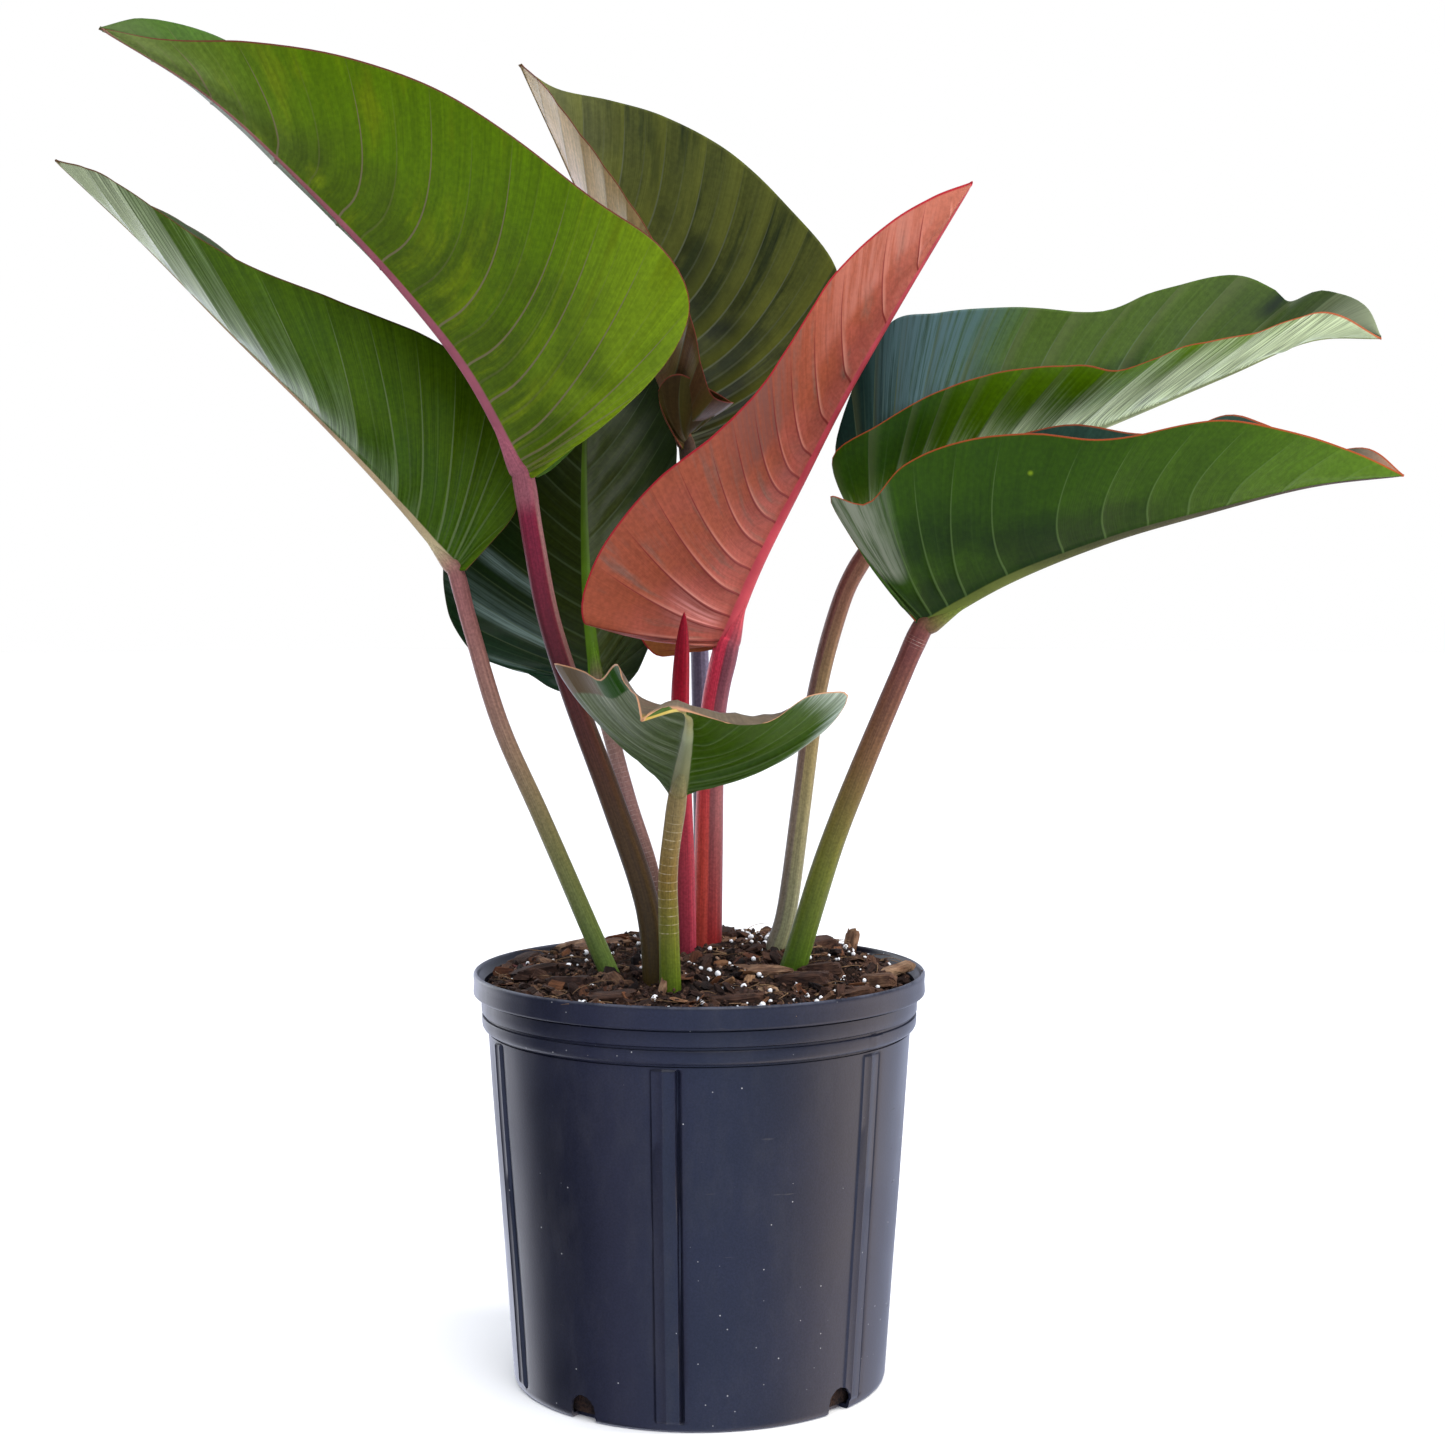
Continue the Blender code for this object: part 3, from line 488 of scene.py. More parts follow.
        vein=dict(colour=(0.060, 0.085, 0.035), width=0.9, strength=0.5, fine=0.1),
        ribColours=((0.085, 0.18, 0.008), (0.06, 0.12, 0.007), (0.06, 0.10, 0.008)),
        margin=dict(colour=(0.04, 0.05, 0.02), width=0.5),
        stalkColours=((0.11, 0.065, 0.035), (0.13, 0.075, 0.06), (0.20, 0.11, 0.10), (0.19, 0.115, 0.09)),
        ringed=dict(start=0.25, end=0.99, count=68, colour=(0.36, 0.27, 0.25), amount=0.7), coat=0.08,
    ),
    "new_red": dict(
        slot="leaf_red", pleat=1.7, wave=1.2, streaks=0.35, ribWidth=(4.6, 0.9), radii=(9.0, 6.9),
        sweep=0.38, hook=2.2,
        veins=[(0.006, 0.10), (0.016, 0.19), (0.030, 0.27), (0.054, 0.333), (0.097, 0.39),
               (0.150, 0.435), (0.199, 0.485), (0.251, 0.525), (0.304, 0.562), (0.345, 0.60), (0.393, 0.645),
               (0.46, 0.71), (0.548, 0.777), (0.68, 0.86), (0.80, 0.925), (0.91, 0.97)],
        stalk=[(4, 27, 239), (5, 24, 289), (6, 19, 336), (8, 13, 376), (13, 8, 411)],
        rib=[(13, 8, 411), (31, 4, 456), (56, 0, 505), (80, -2, 551), (113, 2, 607), (152, 12, 671)],
        left=[(9, 14, 413), (-6, 14, 409), (-25, 16, 407), (-37, 18, 427), (-31, 18, 455),
              (-11, 16, 491), (17, 14, 528), (45, 12, 568), (70, 12, 606), (95, 12, 636),
              (124, 12, 658), (152, 12, 671)],
        right=[(7, 2, 413), (-11, -8, 415), (-36, -22, 418), (-57, -34, 424), (-63, -39, 428),
               (-62, -42, 444), (-50, -46, 470), (-24, -48, 502), (8, -46, 528), (33, -44, 553),
               (54, -40, 584), (75, -30, 616), (103, -14, 644), (129, 0, 661), (152, 12, 671)],
        under=dict(inner=(0.29, 0.068, 0.050), outer=(0.26, 0.062, 0.032), tip=(0.37, 0.115, 0.075),
                   tipStart=0.6, patch=(0.19, 0.085, 0.062), patchLevel=0.64),
        upper=dict(inner=(0.26, 0.07, 0.025), outer=(0.30, 0.10, 0.03), tip=(0.30, 0.09, 0.05)),
        vein=dict(colour=(0.15, 0.018, 0.018), width=0.9, strength=0.85, fine=0.12),
        # painted highlight on the crest beside each vein
        crestHighlight=dict(colour=(0.55, 0.24, 0.18), amount=0.6, width=0.16, fade=(0.35, 0.80)), pleatFade=0.8,
        # first band: painted shade across the middle; the others: painted highlights in colours of their own
        paintedBands=dict(side=1, layer="under", colour=(0.15, 0.060, 0.048),
                   bands=[(9.3, 2.8, 0.62, 1.3, 0.85), (13.9, 2.6, 0.62, 1.4, 0.45, (0.50, 0.20, 0.155)),
                          (3.4, 1.0, 0.12, 0.45, 0.7, (0.62, 0.26, 0.24)),
                          (1.0, 1.0, 0.55, 1.4, 0.6, (0.52, 0.17, 0.18))]),
        ribColours=((0.42, 0.055, 0.07), (0.38, 0.045, 0.06), (0.36, 0.06, 0.07)),
        margin=dict(colour=(0.30, 0.010, 0.020), width=0.8),
        stalkColours=((0.38, 0.050, 0.038), (0.46, 0.060, 0.042), (0.36, 0.030, 0.040), (0.46, 0.03, 0.060)),
        split=dict(colours=((0.25, 0.022, 0.022), (0.22, 0.07, 0.07), (0.15, 0.040, 0.055)), edge=0.0),
    ),
    "right_upper": dict(
        slot="leaf_green", pleat=1.3, wave=1.6, streaks=0.6, ribWidth=(4.6, 0.6), radii=(6.0, 5.2),
        sweep=0.40, hook=1.0,
        veins=[(0.006, 0.12), (0.016, 0.21), (0.030, 0.285), (0.07, 0.335), (0.12, 0.385),
               (0.19, 0.446), (0.27, 0.50), (0.34, 0.555), (0.42, 0.633), (0.50, 0.70), (0.59, 0.775),
               (0.69, 0.85), (0.80, 0.915), (0.91, 0.97)],
        stalk=[(43, 19, 238), (50, 20, 263), (58, 22, 322), (67, 24, 386), (81, 25, 438),
               (93, 25, 465)],
        rib=[(93, 25, 465), (127, 16, 495), (175, 6, 517), (228, -4, 537), (291, -8, 563),
             (338, -4, 582), (379, 2, 584)],
        left=[(94, 32, 469), (87, 38, 495), (78, 42, 529), (105, 46, 592), (137, 46, 602),
              (182, 46, 605), (229, 44, 602), (260, 42, 613), (302, 38, 622), (324, 32, 614),
              (334, 27, 606), (351, 18, 611), (371, 8, 602), (379, 2, 584)],
        right=[(90, 19, 468), (83, 12, 494), (75, 2, 519), (99, -16, 535), (128, -32, 551),
               (162, -44, 561), (203, -52, 565), (228, -54, 562), (264, -48, 575), (301, -38, 583),
               (343, -20, 596), (379, 2, 584)],
        under=dict(inner=(0.055, 0.110, 0.004), outer=(0.070, 0.150, 0.0005), tip=(0.13, 0.17, 0.07),
                   tipStart=0.45, lobeOuter=(0.020, 0.060, 0.0005), lobeEnd=6.0),
        upper=dict(inner=(0.014, 0.034, 0.008), outer=(0.060, 0.108, 0.014), tip=(0.004, 0.010, 0.0),
                   tipStart=0.42, lobe=(0.006, 0.022, 0.014), lobeEnd=7.0),
        # painted silvery sheen: on the right underside, and toward the tip on the left upper side
        paintedSilver=[
            dict(side=1, layer="under", colour=(0.31, 0.37, 0.23), along=1.5, inner=1.3, streaky=0.9,
                 level=0.94, soft=0.38, banded=0.10, lines=0.8),
            dict(side=-1, layer="upper", colour=(0.17, 0.20, 0.12), along=4.0, inner=0.0, streaky=0.7,
                 level=3.35, soft=0.35, banded=0.0),
        ],
        # painted bluish reflection on the left upper side, and a dark band by the tip
        paintedBands=dict(side=-1, layer="upper", colour=(0.094, 0.168, 0.180),
                   bands=[(4.8, 2.6, 0.58, 1.3, 0.95), (11.9, 0.35, 0.86, 1.4, 0.9, (0.004, 0.012, 0.006))]),
        # painted highlight on the crest beside each vein
        crestHighlight=dict(colour=(0.12, 0.14, 0.06), amount=0.35, width=0.4),
        vein=dict(colour=(0.10, 0.14, 0.07), width=1.0, strength=0.6, fine=0.15),
        ribColours=((0.16, 0.20, 0.08), (0.26, 0.30, 0.17), (0.12, 0.14, 0.05)),
        margin=dict(colour=(0.30, 0.06, 0.02), width=0.6, side=1),
        stalkColours=((0.15, 0.14, 0.10), (0.16, 0.125, 0.09), (0.12, 0.065, 0.050), (0.11, 0.035, 0.026)),
        split=dict(colours=((0.19, 0.19, 0.105), (0.20, 0.155, 0.065), (0.15, 0.065, 0.040)), edge=0.30),
    ),
    "right_lower": dict(
        slot="leaf_green", pleat=0.8, wave=0.7, streaks=0.45, ribWidth=(3.6, 0.5), radii=(7.8, 5.6),
        sweep=0.36, hook=1.2,
        veins=[(0.006, 0.12), (0.016, 0.21), (0.030, 0.285), (0.066, 0.335), (0.106, 0.394),
               (0.197, 0.45), (0.313, 0.551), (0.398, 0.62), (0.482, 0.70), (0.559, 0.766), (0.636, 0.837),
               (0.75, 0.90), (0.87, 0.955)],
        stalk=[(50.5, -26, 230), (71, -32, 299), (89, -36, 347), (106.5, -40, 390), (120, -42, 424)],
        rib=[(120, -42, 424), (165, -54, 450), (217, -62, 471), (269, -66, 486), (326, -62, 500),
             (378, -54, 506)],
        left=[(121, -36, 428), (113, -26, 455), (102, -18, 488), (119, -20, 507), (148, -28, 520),
              (176, -34, 529), (204, -36, 534), (237, -36, 529), (261, -38, 530), (286, -38, 539),
              (306, -40, 534), (335, -44, 520), (361, -48, 520), (378, -54, 506)],
        right=[(117, -48, 428), (92, -62, 457), (70, -70, 493), (89, -78, 490), (108, -86, 510),
               (137, -92, 522), (173, -96, 526), (214, -98, 523), (269, -92, 533), (310, -82, 528),
               (348, -66, 518), (378, -54, 506)],
        under=dict(inner=(0.009, 0.023, 0.0003), outer=(0.020, 0.052, 0.0002), tip=(0.066, 0.130, 0.009),
                   tipStart=0.3),
        upper=dict(inner=(0.02, 0.055, 0.045), outer=(0.025, 0.06, 0.04), tip=(0.32, 0.17, 0.11),
                   tipStart=0.72),
        # painted sheen in one band on the right underside
        paintedBands=dict(side=1, layer="under", colour=(0.20, 0.22, 0.16), bands=[(2.1, 1.25, 0.42, 1.4, 1.0)]),
        vein=dict(colour=(0.070, 0.12, 0.030), width=0.8, strength=0.55, fine=0.04),
        specks=dict(colour=(0.20, 0.30, 0.01), share=0.09),
        ribColours=((0.11, 0.14, 0.02), (0.06, 0.06, 0.025), (0.07, 0.05, 0.05)),
        margin=dict(colour=(0.28, 0.05, 0.015), width=0.6),
        stalkColours=((0.045, 0.10, 0.008), (0.10, 0.11, 0.014), (0.12, 0.062, 0.026), (0.115, 0.036, 0.030)),
        ringed=dict(start=0.958, end=0.976, count=130, colour=(0.60, 0.50, 0.44), amount=0.7),
    ),
    "small_front": dict(
        slot="leaf_green", pleat=0.9, wave=0.6, ribWidth=(4.0, 0.6), radii=(6.2, 4.8), merge=24.0,
        streaks=0.5,
        roll=dict(side=-1, heights=[(0.55, 0), (0.585, 4.8), (0.618, 8), (0.70, 9.5), (0.78, 5.8),
                                    (0.83, 4.2), (0.895, 3.5), (1.0, 0)]),
        sweep=0.30, hook=0.5,
        veins=[(0.01, 0.12), (0.03, 0.24), (0.07, 0.35), (0.14, 0.45), (0.23, 0.55),
               (0.34, 0.65), (0.48, 0.75), (0.64, 0.85), (0.82, 0.94)],
        stalk=[(-15, -64, 229), (-16, -65, 265), (-16, -68, 295), (-11, -74, 335)],
        rib=[(-11, -74, 335), (-8, -88, 351), (-5, -108, 368), (-4, -132, 381), (-10, -156, 386),
             (-27, -178, 382)],
        left=[(-6, -74, 337), (14, -74, 344), (41, -74, 352), (67, -72, 369), (80, -72, 389),
              (58, -94, 389), (42, -112, 379), (26, -124, 376), (8, -138, 380), (-6, -152, 385),
              (-18, -166, 387), (-27, -178, 382)],
        right=[(-16, -73, 337), (-27, -72, 352), (-42, -70, 370), (-60, -68, 388), (-77, -68, 405),
               (-60, -88, 402), (-51, -100, 398), (-42, -116, 407), (-37, -134, 398),
               (-30, -158, 392), (-27, -178, 382)],
        under=dict(inner=(0.022, 0.048, 0.002), outer=(0.026, 0.056, 0.002), tip=(0.05, 0.09, 0.02)),
        underRight=dict(inner=(0.040, 0.060, 0.018), outer=(0.050, 0.070, 0.026), tip=(0.10, 0.12, 0.06)),
        upper=dict(inner=(0.035, 0.08, 0.008), outer=(0.10, 0.078, 0.055), tip=(0.30, 0.20, 0.03),
                   tipStart=0.9),
        # plain dark green and brown bands of the leaf's own colour on the right underside
        paintedBands=dict(side=1, layer="under", colour=(0.010, 0.045, 0.0), steady=True, soft=0.012,
                   bands=[(6.2, 1.2, 0.775, 1.4, 1.0, (0.010, 0.045, 0.0), -0.08),
                          (4.1, 1.25, 0.82, 1.4, 1.0, (0.080, 0.055, 0.030), 0.02)]),
        # painted silvery sheen on both halves of the underside
        paintedSilver=[
            dict(side=1, layer="under", colour=(0.19, 0.21, 0.15), along=0.2, inner=-0.3, streaky=1.4,
                 level=0.12, soft=0.45, banded=0.1, lines=0.65),
            dict(side=-1, layer="under", colour=(0.28, 0.33, 0.28), along=-2.0, inner=-2.2, streaky=1.0,
                 level=-0.38, soft=0.3, banded=0.0),
        ],
        vein=dict(colour=(0.10, 0.14, 0.06), width=0.8, strength=0.35, fine=0.2),
        ribColours=((0.15, 0.14, 0.06), (0.20, 0.22, 0.13), (0.40, 0.28, 0.05)),
        margin=dict(colour=(0.42, 0.22, 0.12), width=0.6),
        stalkColours=((0.055, 0.115, 0.008), (0.10, 0.12, 0.010), (0.155, 0.095, 0.018), (0.18, 0.13, 0.05)),
        ringed=dict(start=0.45, end=0.93, count=30, colour=(0.46, 0.40, 0.26), amount=0.7),
    ),
}


# Half width of the midrib: tip + (foot - tip) (1 - s)^1.2 along the rib.
def ribRadius(leaf, share):
    foot, tip = leaf["ribWidth"]
    return tip + (foot - tip) * (1 - share) ** 1.2


# Rows of a half blade: one at each vein and more between it and the next, closer by the veins. A row
# is numbered by its phase, which is whole at a vein; shares of rib and margin are read between the veins.
def veinRows(leaf):
    count = len(leaf["veins"])
    part = np.asarray(leafBuild["rowsPerVein"])
    phase = np.concatenate([(np.arange(count + 1)[:, None] + part).ravel(), [count + 0.995]])
    knots = np.array([(0.0, 0.0)] + leaf["veins"] + [(1.0, 1.0)])
    roots, shares = [np.interp(phase, np.arange(count + 2), knots[:, k]) for k in (0, 1)]
    return roots, shares, phase


# One half of a blade: every row runs as its vein does, p(t) = (1-t)^2 root + 2t(1-t) control + t^2 end, whose
# control point is bowed back toward the stalk and down to the underside. The row leaves the rib with a hook
# toward the tip, h (d/6) exp(1 - d/6), d mm from the rib. A belly moves it to the underside by
# b u exp(1 - u) sin(pi r)^0.7, with u = 20 t from the rib's edge on. A rolled edge lifts it by h at t = 0.78
# and brings it back to the margin on the near side.
def halfBlade(leaf, margin, roots, shares, side):
    rib = leaf["rib"]
    start, end = alongLine(rib, roots), alongLine(margin, shares)
    after, before = [alongLine(rib, np.clip(roots + step, 0, 1)) for step in (0.002, -0.002)]
    forward = unit(after - before)
    across = end - start
    length = np.linalg.norm(across, axis=-1, keepdims=True)
    under = unit(np.cross(forward, across)) * side
    bow = leaf["sweep"] * rise(shares, 0.05, 0.8)[:, None]
    control = 0.5 * (start + end) - forward * bow * length + under * leafBuild["cup"] * length
    near = np.asarray(leafBuild["nearRib"])
    radius = ribRadius(leaf, roots)[:, None]
    span = np.minimum(near[-1] * radius / length, 0.55)
    far = np.concatenate([np.linspace(0, 1, leafBuild["columns"])[1:-1], [0.972, 0.988, 1.0]])
    t = np.concatenate([near / near[-1] * span, span + (1 - span) * far], axis=1)
    w = t[:, :, None]
    points = (1 - w) ** 2 * start[:, None] + 2 * w * (1 - w) * control[:, None] + w**2 * end[:, None]
    away = t * length
    hook = leaf["hook"] * away / 6 * np.exp(1 - away / 6) * rise(shares, 0.1, 0.4)[:, None]
    points = points + forward[:, None] * (hook * (1 - rise(shares, 0.8, 0.95)[:, None]))[..., None]
    belly = leaf.get("belly", dict(side=0))
    if belly["side"] == side:
        beyond = np.clip(t - 1.15 * radius / length, 0, 1) / 0.05
        out = belly["depth"] * beyond * np.exp(1 - beyond) * np.sin(math.pi * roots)[:, None] ** 0.7
        points = points + under[:, None] * out[..., None]
    roll = leaf.get("roll", dict(side=0))
    if roll["side"] == side:
        lift = np.interp(shares, *np.array(roll["heights"]).T)[:, None]
        up = lift * rise(t, 0.15, 0.78) * (1 - rise(t, 0.78, 1.0))
        ahead = 0.35 * lift * np.sin(math.pi * np.clip((t - 0.74) / 0.26, 0, 1))
        points = points + np.stack([0 * up, -ahead, up], -1)
    ribGap = np.minimum(away / radius, 4.0)
    return points, t, ribGap, (1 - t) * length


# Upper-side normals of a grid: the cross product of its two directions.
def gridNormals(grid):
    normals = unit(np.cross(np.gradient(grid, axis=1), np.gradient(grid, axis=0)))
    normals[-1] = normals[-2]
    return normals


# Distance in mm from each point to the nearest row of a kind, square to it: the veins themselves, or the
# finer ones half-way between them.
def rowDistance(sheet, phase, count, offsetRows):
    ahead = unit(np.gradient(sheet, axis=1))
    perVein = len(leafBuild["rowsPerVein"])
    base = np.floor(phase - offsetRows / perVein).astype(int)
    best = np.full(sheet.shape[:2], 99.0)
    for step in (0, 1):
        row = np.clip(base + step, 1, count) * perVein + offsetRows
        offset = sheet - sheet[np.minimum(row, len(sheet) - 1)]
        offset -= (offset * ahead).sum(-1, keepdims=True) * ahead
        best = np.minimum(best, np.linalg.norm(offset, axis=-1))
    return best


# Points and faces of a thin body between two grids, closed by a wall round its edge.
def closedSheet(upper, lower):
    rows, columns = upper.shape[:2]
    index = np.arange(rows * columns).reshape(rows, columns)
    loop = np.concatenate([index[0, :-1], index[:-1, -1], index[-1, :0:-1], index[:0:-1, 0]])
    after, deep = np.roll(loop, -1), rows * columns
    wall = np.stack([after, loop, loop + deep, after + deep], -1)
    quads = gridQuads(rows, columns)
    return np.concatenate([upper.reshape(-1, 3), lower.reshape(-1, 3)]), [quads, quads[:, ::-1] + deep, wall]


# The whole blade as a closed sheet: middle surface, pleats up between the veins, a rounded rib and
# fine vein ridges below, shallow grooves above, and a thickness that thins toward the margin.
def bladeMesh(leaf, seed):
    count = len(leaf["veins"])
    rootShares, shares, phase = veinRows(leaf)
    halves = [halfBlade(leaf, leaf[which], rootShares, shares, side)
              for which, side in (("left", -1), ("right", 1))]
    sheet, reach, ribGap, edgeGap = [np.concatenate([left[:, ::-1], right[:, 1:]], axis=1)
                                     for left, right in zip(*halves)]
    rows, columns = reach.shape
    middle = columns // 2
    sideSign = np.sign(np.arange(columns) - middle)[None, :] * np.ones((rows, 1))
    roots = rootShares[:, None] * np.ones((1, columns))
    phases = phase[:, None] * np.ones((1, columns))
    radius = ribRadius(leaf, roots)
    normals = gridNormals(sheet)
    between = np.abs(np.sin(math.pi * phases)) ** 1.3 * rise(phases, 0.2, 1.2)
    between = between * (1 - rise(phases, count - 0.8, count + 0.2))
    pleat = leaf["pleat"] * between * rise(reach, 0.02, 0.22)
    pleat = pleat * (1 - leaf.get("pleatFade", 0.5) * rise(reach, 0.2, 0.9))
    ripple = latticeNoise(phases * 0.55 + 20, reach * 2.3 + 7 * sideSign + 20, seed) - 0.5
    sheet = sheet + normals * (pleat + 2 * leaf["wave"] * ripple * rise(reach, 0.05, 0.4))[..., None]
    normals = gridNormals(sheet)
    nearFold = (1 - rise(ribGap, 0.0, 1.15))[..., None]
    normals = unit(normals * (1 - nearFold) + normals[:, middle][:, None] * nearFold)
    veinGap = rowDistance(sheet, phase, count, 0)
    minorGap = rowDistance(sheet, phase, count, len(leafBuild["rowsPerVein"]) // 2)
    line = np.exp(-(veinGap / 0.75) ** 2) * (1 - reach) ** 0.6 * rise(ribGap, 1.0, 1.6)
    half = leafBuild["thickness"] / 2 * (1 - 0.75 * rise(reach, 0.94, 1.0))
    bell = 0.95 * radius * np.clip(1 - (ribGap / 1.35) ** 2, 0, 1) ** 1.2
    upper = sheet + normals * (half - 0.22 * line)[..., None]
    lower = sheet - normals * (half + 0.40 * line + bell)[..., None]
    last = len(leafBuild["nearRib"]) - 2
    span = slice(middle - last, middle + last + 1)
    x = (ribGap[:, span] * sideSign[:, span] / ribGap[:, middle + last][:, None])[..., None]
    chord = upper[:, middle - last][:, None] * (1 - x) / 2 + upper[:, middle + last][:, None] * (1 + x) / 2
    dome = 0.16 * radius[:, middle, None, None] * (1 - x**2)
    upper[:, span] = chord + normals[:, middle][:, None] * dome
    points, faces = closedSheet(upper, lower)
    named = dict(reach=reach, phase=phases, veinGap=veinGap, minorGap=minorGap, ribGap=ribGap, ribShare=roots,
                 side=sideSign, edgeGap=edgeGap)
    values = {key: np.tile(value.ravel(), 2) for key, value in named.items()}
    values["under"] = np.repeat([0.0, 1.0], rows * columns)
    return points, faces, values, (sheet[:, middle], normals[:, middle])


# A noise drawn out along the veins: its place is (rows phase, along reach, 7 side).
def veinNoise(tree, at, rows, along, detail, roughness):
    place = combined(tree, times(tree, at["phase"], rows), times(tree, at["reach"], along),
                     times(tree, at["side"], 7.0))
    return noiseAt(tree, place, 1.0, detail, roughness)


# What a leaf's colours are laid along: the mesh's own values, noises that follow the veins and calm down
# toward the tip, and shares of 0 or 1 for each half and each layer.
def leafGuides(tree):
    names = ("reach", "phase", "veinGap", "minorGap", "ribGap", "ribShare", "side", "edgeGap", "under")
    at = {name: readValue(tree, name) for name in names}
    at["place"] = objectPlace(tree)
    at["mottle"] = noiseAt(tree, at["place"], 30, 3)
    calm = mapped(tree, at["ribShare"], 0.70, 0.95, 1.0, 0.1)
    for name, noise in (("streak", veinNoise(tree, at, 7.0, 1.3, 5, 0.65)),
                        ("hair", veinNoise(tree, at, 30.0, 1.6, 2, 0.5))):
        at[name] = plus(tree, 0.5, times(tree, minus(tree, noise, 0.5), calm))
    at["patches"] = veinNoise(tree, at, 2.3, 1.6, 4, 0.6)
    at["spread"] = plus(tree, at["reach"], mapped(tree, at["mottle"], 0.3, 0.7, -0.25, 0.25))
    at["sawTooth"] = calc(tree, "FRACT", at["phase"])
    onRight = mapped(tree, at["side"], -0.01, 0.01)
    at["half"] = {-1: minus(tree, 1.0, onRight), 1: onRight}
    at["layer"] = {"upper": minus(tree, 1.0, at["under"]), "under": at["under"]}
    return at


# One half-surface's colour: rib side to margin side along the vein, then toward the tip.
def zoneColour(tree, at, zone):
    outer = zone["outer"]
    if "lobeOuter" in zone:
        onLobe = mapped(tree, at["phase"], zone["lobeEnd"] - 3.0, zone["lobeEnd"], 1.0, 0.0)
        outer = mixColour(tree, onLobe, outer, zone["lobeOuter"])
    colour = mixColour(tree, mapped(tree, at["spread"], 0.1, 0.85), zone["inner"], outer)
    if "patch" in zone:
        level = zone["patchLevel"]
        onPatch = mapped(tree, at["patches"], level - 0.12, level + 0.1)
        colour = mixColour(tree, onPatch, colour, zone["patch"])
    onTip = mapped(tree, at["ribShare"], zone.get("tipStart", 0.75), 1.0)
    colour = mixColour(tree, onTip, colour, zone["tip"])
    if "lobe" in zone:
        onLobe = mapped(tree, at["phase"], zone["lobeEnd"] - 4.0, zone["lobeEnd"], 1.0, 0.0)
        colour = mixColour(tree, onLobe, colour, zone["lobe"])
    return colour


# A painted highlight on the crest beside each vein: amount at the vein, none from its width on toward the
# next vein, and none at the rib or beyond the fade.
def paintedCrestHighlight(tree, at, colour, crestHighlight):
    crest = mapped(tree, at["sawTooth"], 0.02, crestHighlight.get("width", 0.30), crestHighlight["amount"], 0.0)
    crest = times(tree, crest, mapped(tree, at["reach"], *crestHighlight.get("fade", (1.0, 1.4)), 1.0, 0.0))
    crest = times(tree, crest, mapped(tree, at["reach"], 0.08, 0.3))
    return mixColour(tree, crest, colour, crestHighlight["colour"])


# A painted silvery sheen on one half of one layer, where along r + inner (1 - reach) + streaky (streak - 1/2)
# and banded, a saw-tooth from vein to vein, add up to more than the level, with a border of twice soft.
def paintedSilverSheen(tree, at, colour, s):
    amount = plus(tree, times(tree, at["ribShare"], s["along"]),
                  times(tree, minus(tree, 1.0, at["reach"]), s["inner"]))
    amount = plus(tree, amount, times(tree, minus(tree, at["streak"], 0.5), s["streaky"]))
    amount = plus(tree, amount, mapped(tree, at["sawTooth"], 0.1, 0.9, s["banded"], -s["banded"]))
    amount = mapped(tree, amount, s["level"] - s["soft"], s["level"] + s["soft"])
    amount = times(tree, amount, times(tree, at["half"][s["side"]], at["layer"][s["layer"]]))
    paintedSilver = shade(tree, s["colour"], at["hair"], s.get("lines", 0.4))
    return mixColour(tree, times(tree, amount, 0.92), colour, paintedSilver)


# Bands along the veins of one half of one layer, each in a colour of its own: painted sheen and painted
# reflection on most leaves, with a dark band by the tip on right_upper; a painted shade band across the
# middle and painted highlights on new_red; plain colour on small_front. A band is (middle, width, start, end,
# amount), with middle and width counted in veins and start and end in reach, then a colour of its own and a
# tilt, by which its start moves from vein to vein. Steady bands are wide in the core and unbroken by the
# streaks.
def paintedBandColour(tree, at, colour, g):
    core, least = (0.7, 1.0) if "steady" in g else (0.1, 0.25)
    soft = g.get("soft", 0.07)
    broken = times(tree, mapped(tree, at["streak"], 0.36, 0.58, least, 1.0),
                   times(tree, at["half"][g["side"]], at["layer"][g["layer"]]))
    for middle, width, start, end, amount, *own in g["bands"]:
        away = minus(tree, at["phase"], middle)
        level = minus(tree, at["reach"], times(tree, away, own[1])) if len(own) > 1 else at["reach"]
        window = times(tree, mapped(tree, level, start - soft, start + soft),
                       mapped(tree, at["reach"], end - 1.7 * soft, end + 1.7 * soft, 1.0, 0.0))
        band = mapped(tree, calc(tree, "ABSOLUTE", away), core * width, width, amount, 0.0)
        band = times(tree, times(tree, band, window), broken)
        colour = mixColour(tree, band, colour, own[0] if own else g["colour"])
    return colour


# Veins and the finer lines between them: full within 0.3 of w (1.3 - reach), gone at 0.9 of it, and weaker
# by the margin, by the stalk and at the tip.
def veinColour(tree, at, colour, vein):
    width = times(tree, minus(tree, 1.3, at["reach"]), vein["width"])
    fade = times(tree, mapped(tree, at["reach"], 0.75, 1.0, 1.0, 0.15),
                 mapped(tree, at["phase"], 0.5, 4.0, 0.4, 1.0))
    fade = times(tree, fade, mapped(tree, at["ribShare"], 0.82, 0.94, 1.0, 0.0))
    for gap, strength in (("minorGap", vein["fine"]), ("veinGap", vein["strength"])):
        mask = mapped(tree, calc(tree, "DIVIDE", at[gap], width), 0.3, 0.9, strength, 0.0)
        colour = mixColour(tree, times(tree, mask, fade), colour, vein["colour"])
    return colour


# The rib in three colours from the stalk to the tip, up to ribEdge of its half width and 0.18 more below.
def ribColour(tree, at, colour, look):
    tone = rampColour(tree, at["ribShare"], list(zip((0.0, 0.4, 1.0), look["ribColours"])))
    tone = shade(tree, tone, noiseAt(tree, stretched(tree, at["place"], (60, 60, 60)), 1.0, 3), 0.15)
    edge = times(tree, plus(tree, 1.0, times(tree, at["under"], 0.18)), look.get("ribEdge", 1.0))
    onRib = mapped(tree, calc(tree, "DIVIDE", at["ribGap"], edge), 0.88, 1.12, 1.0, 0.0)
    return mixColour(tree, onRib, colour, tone)


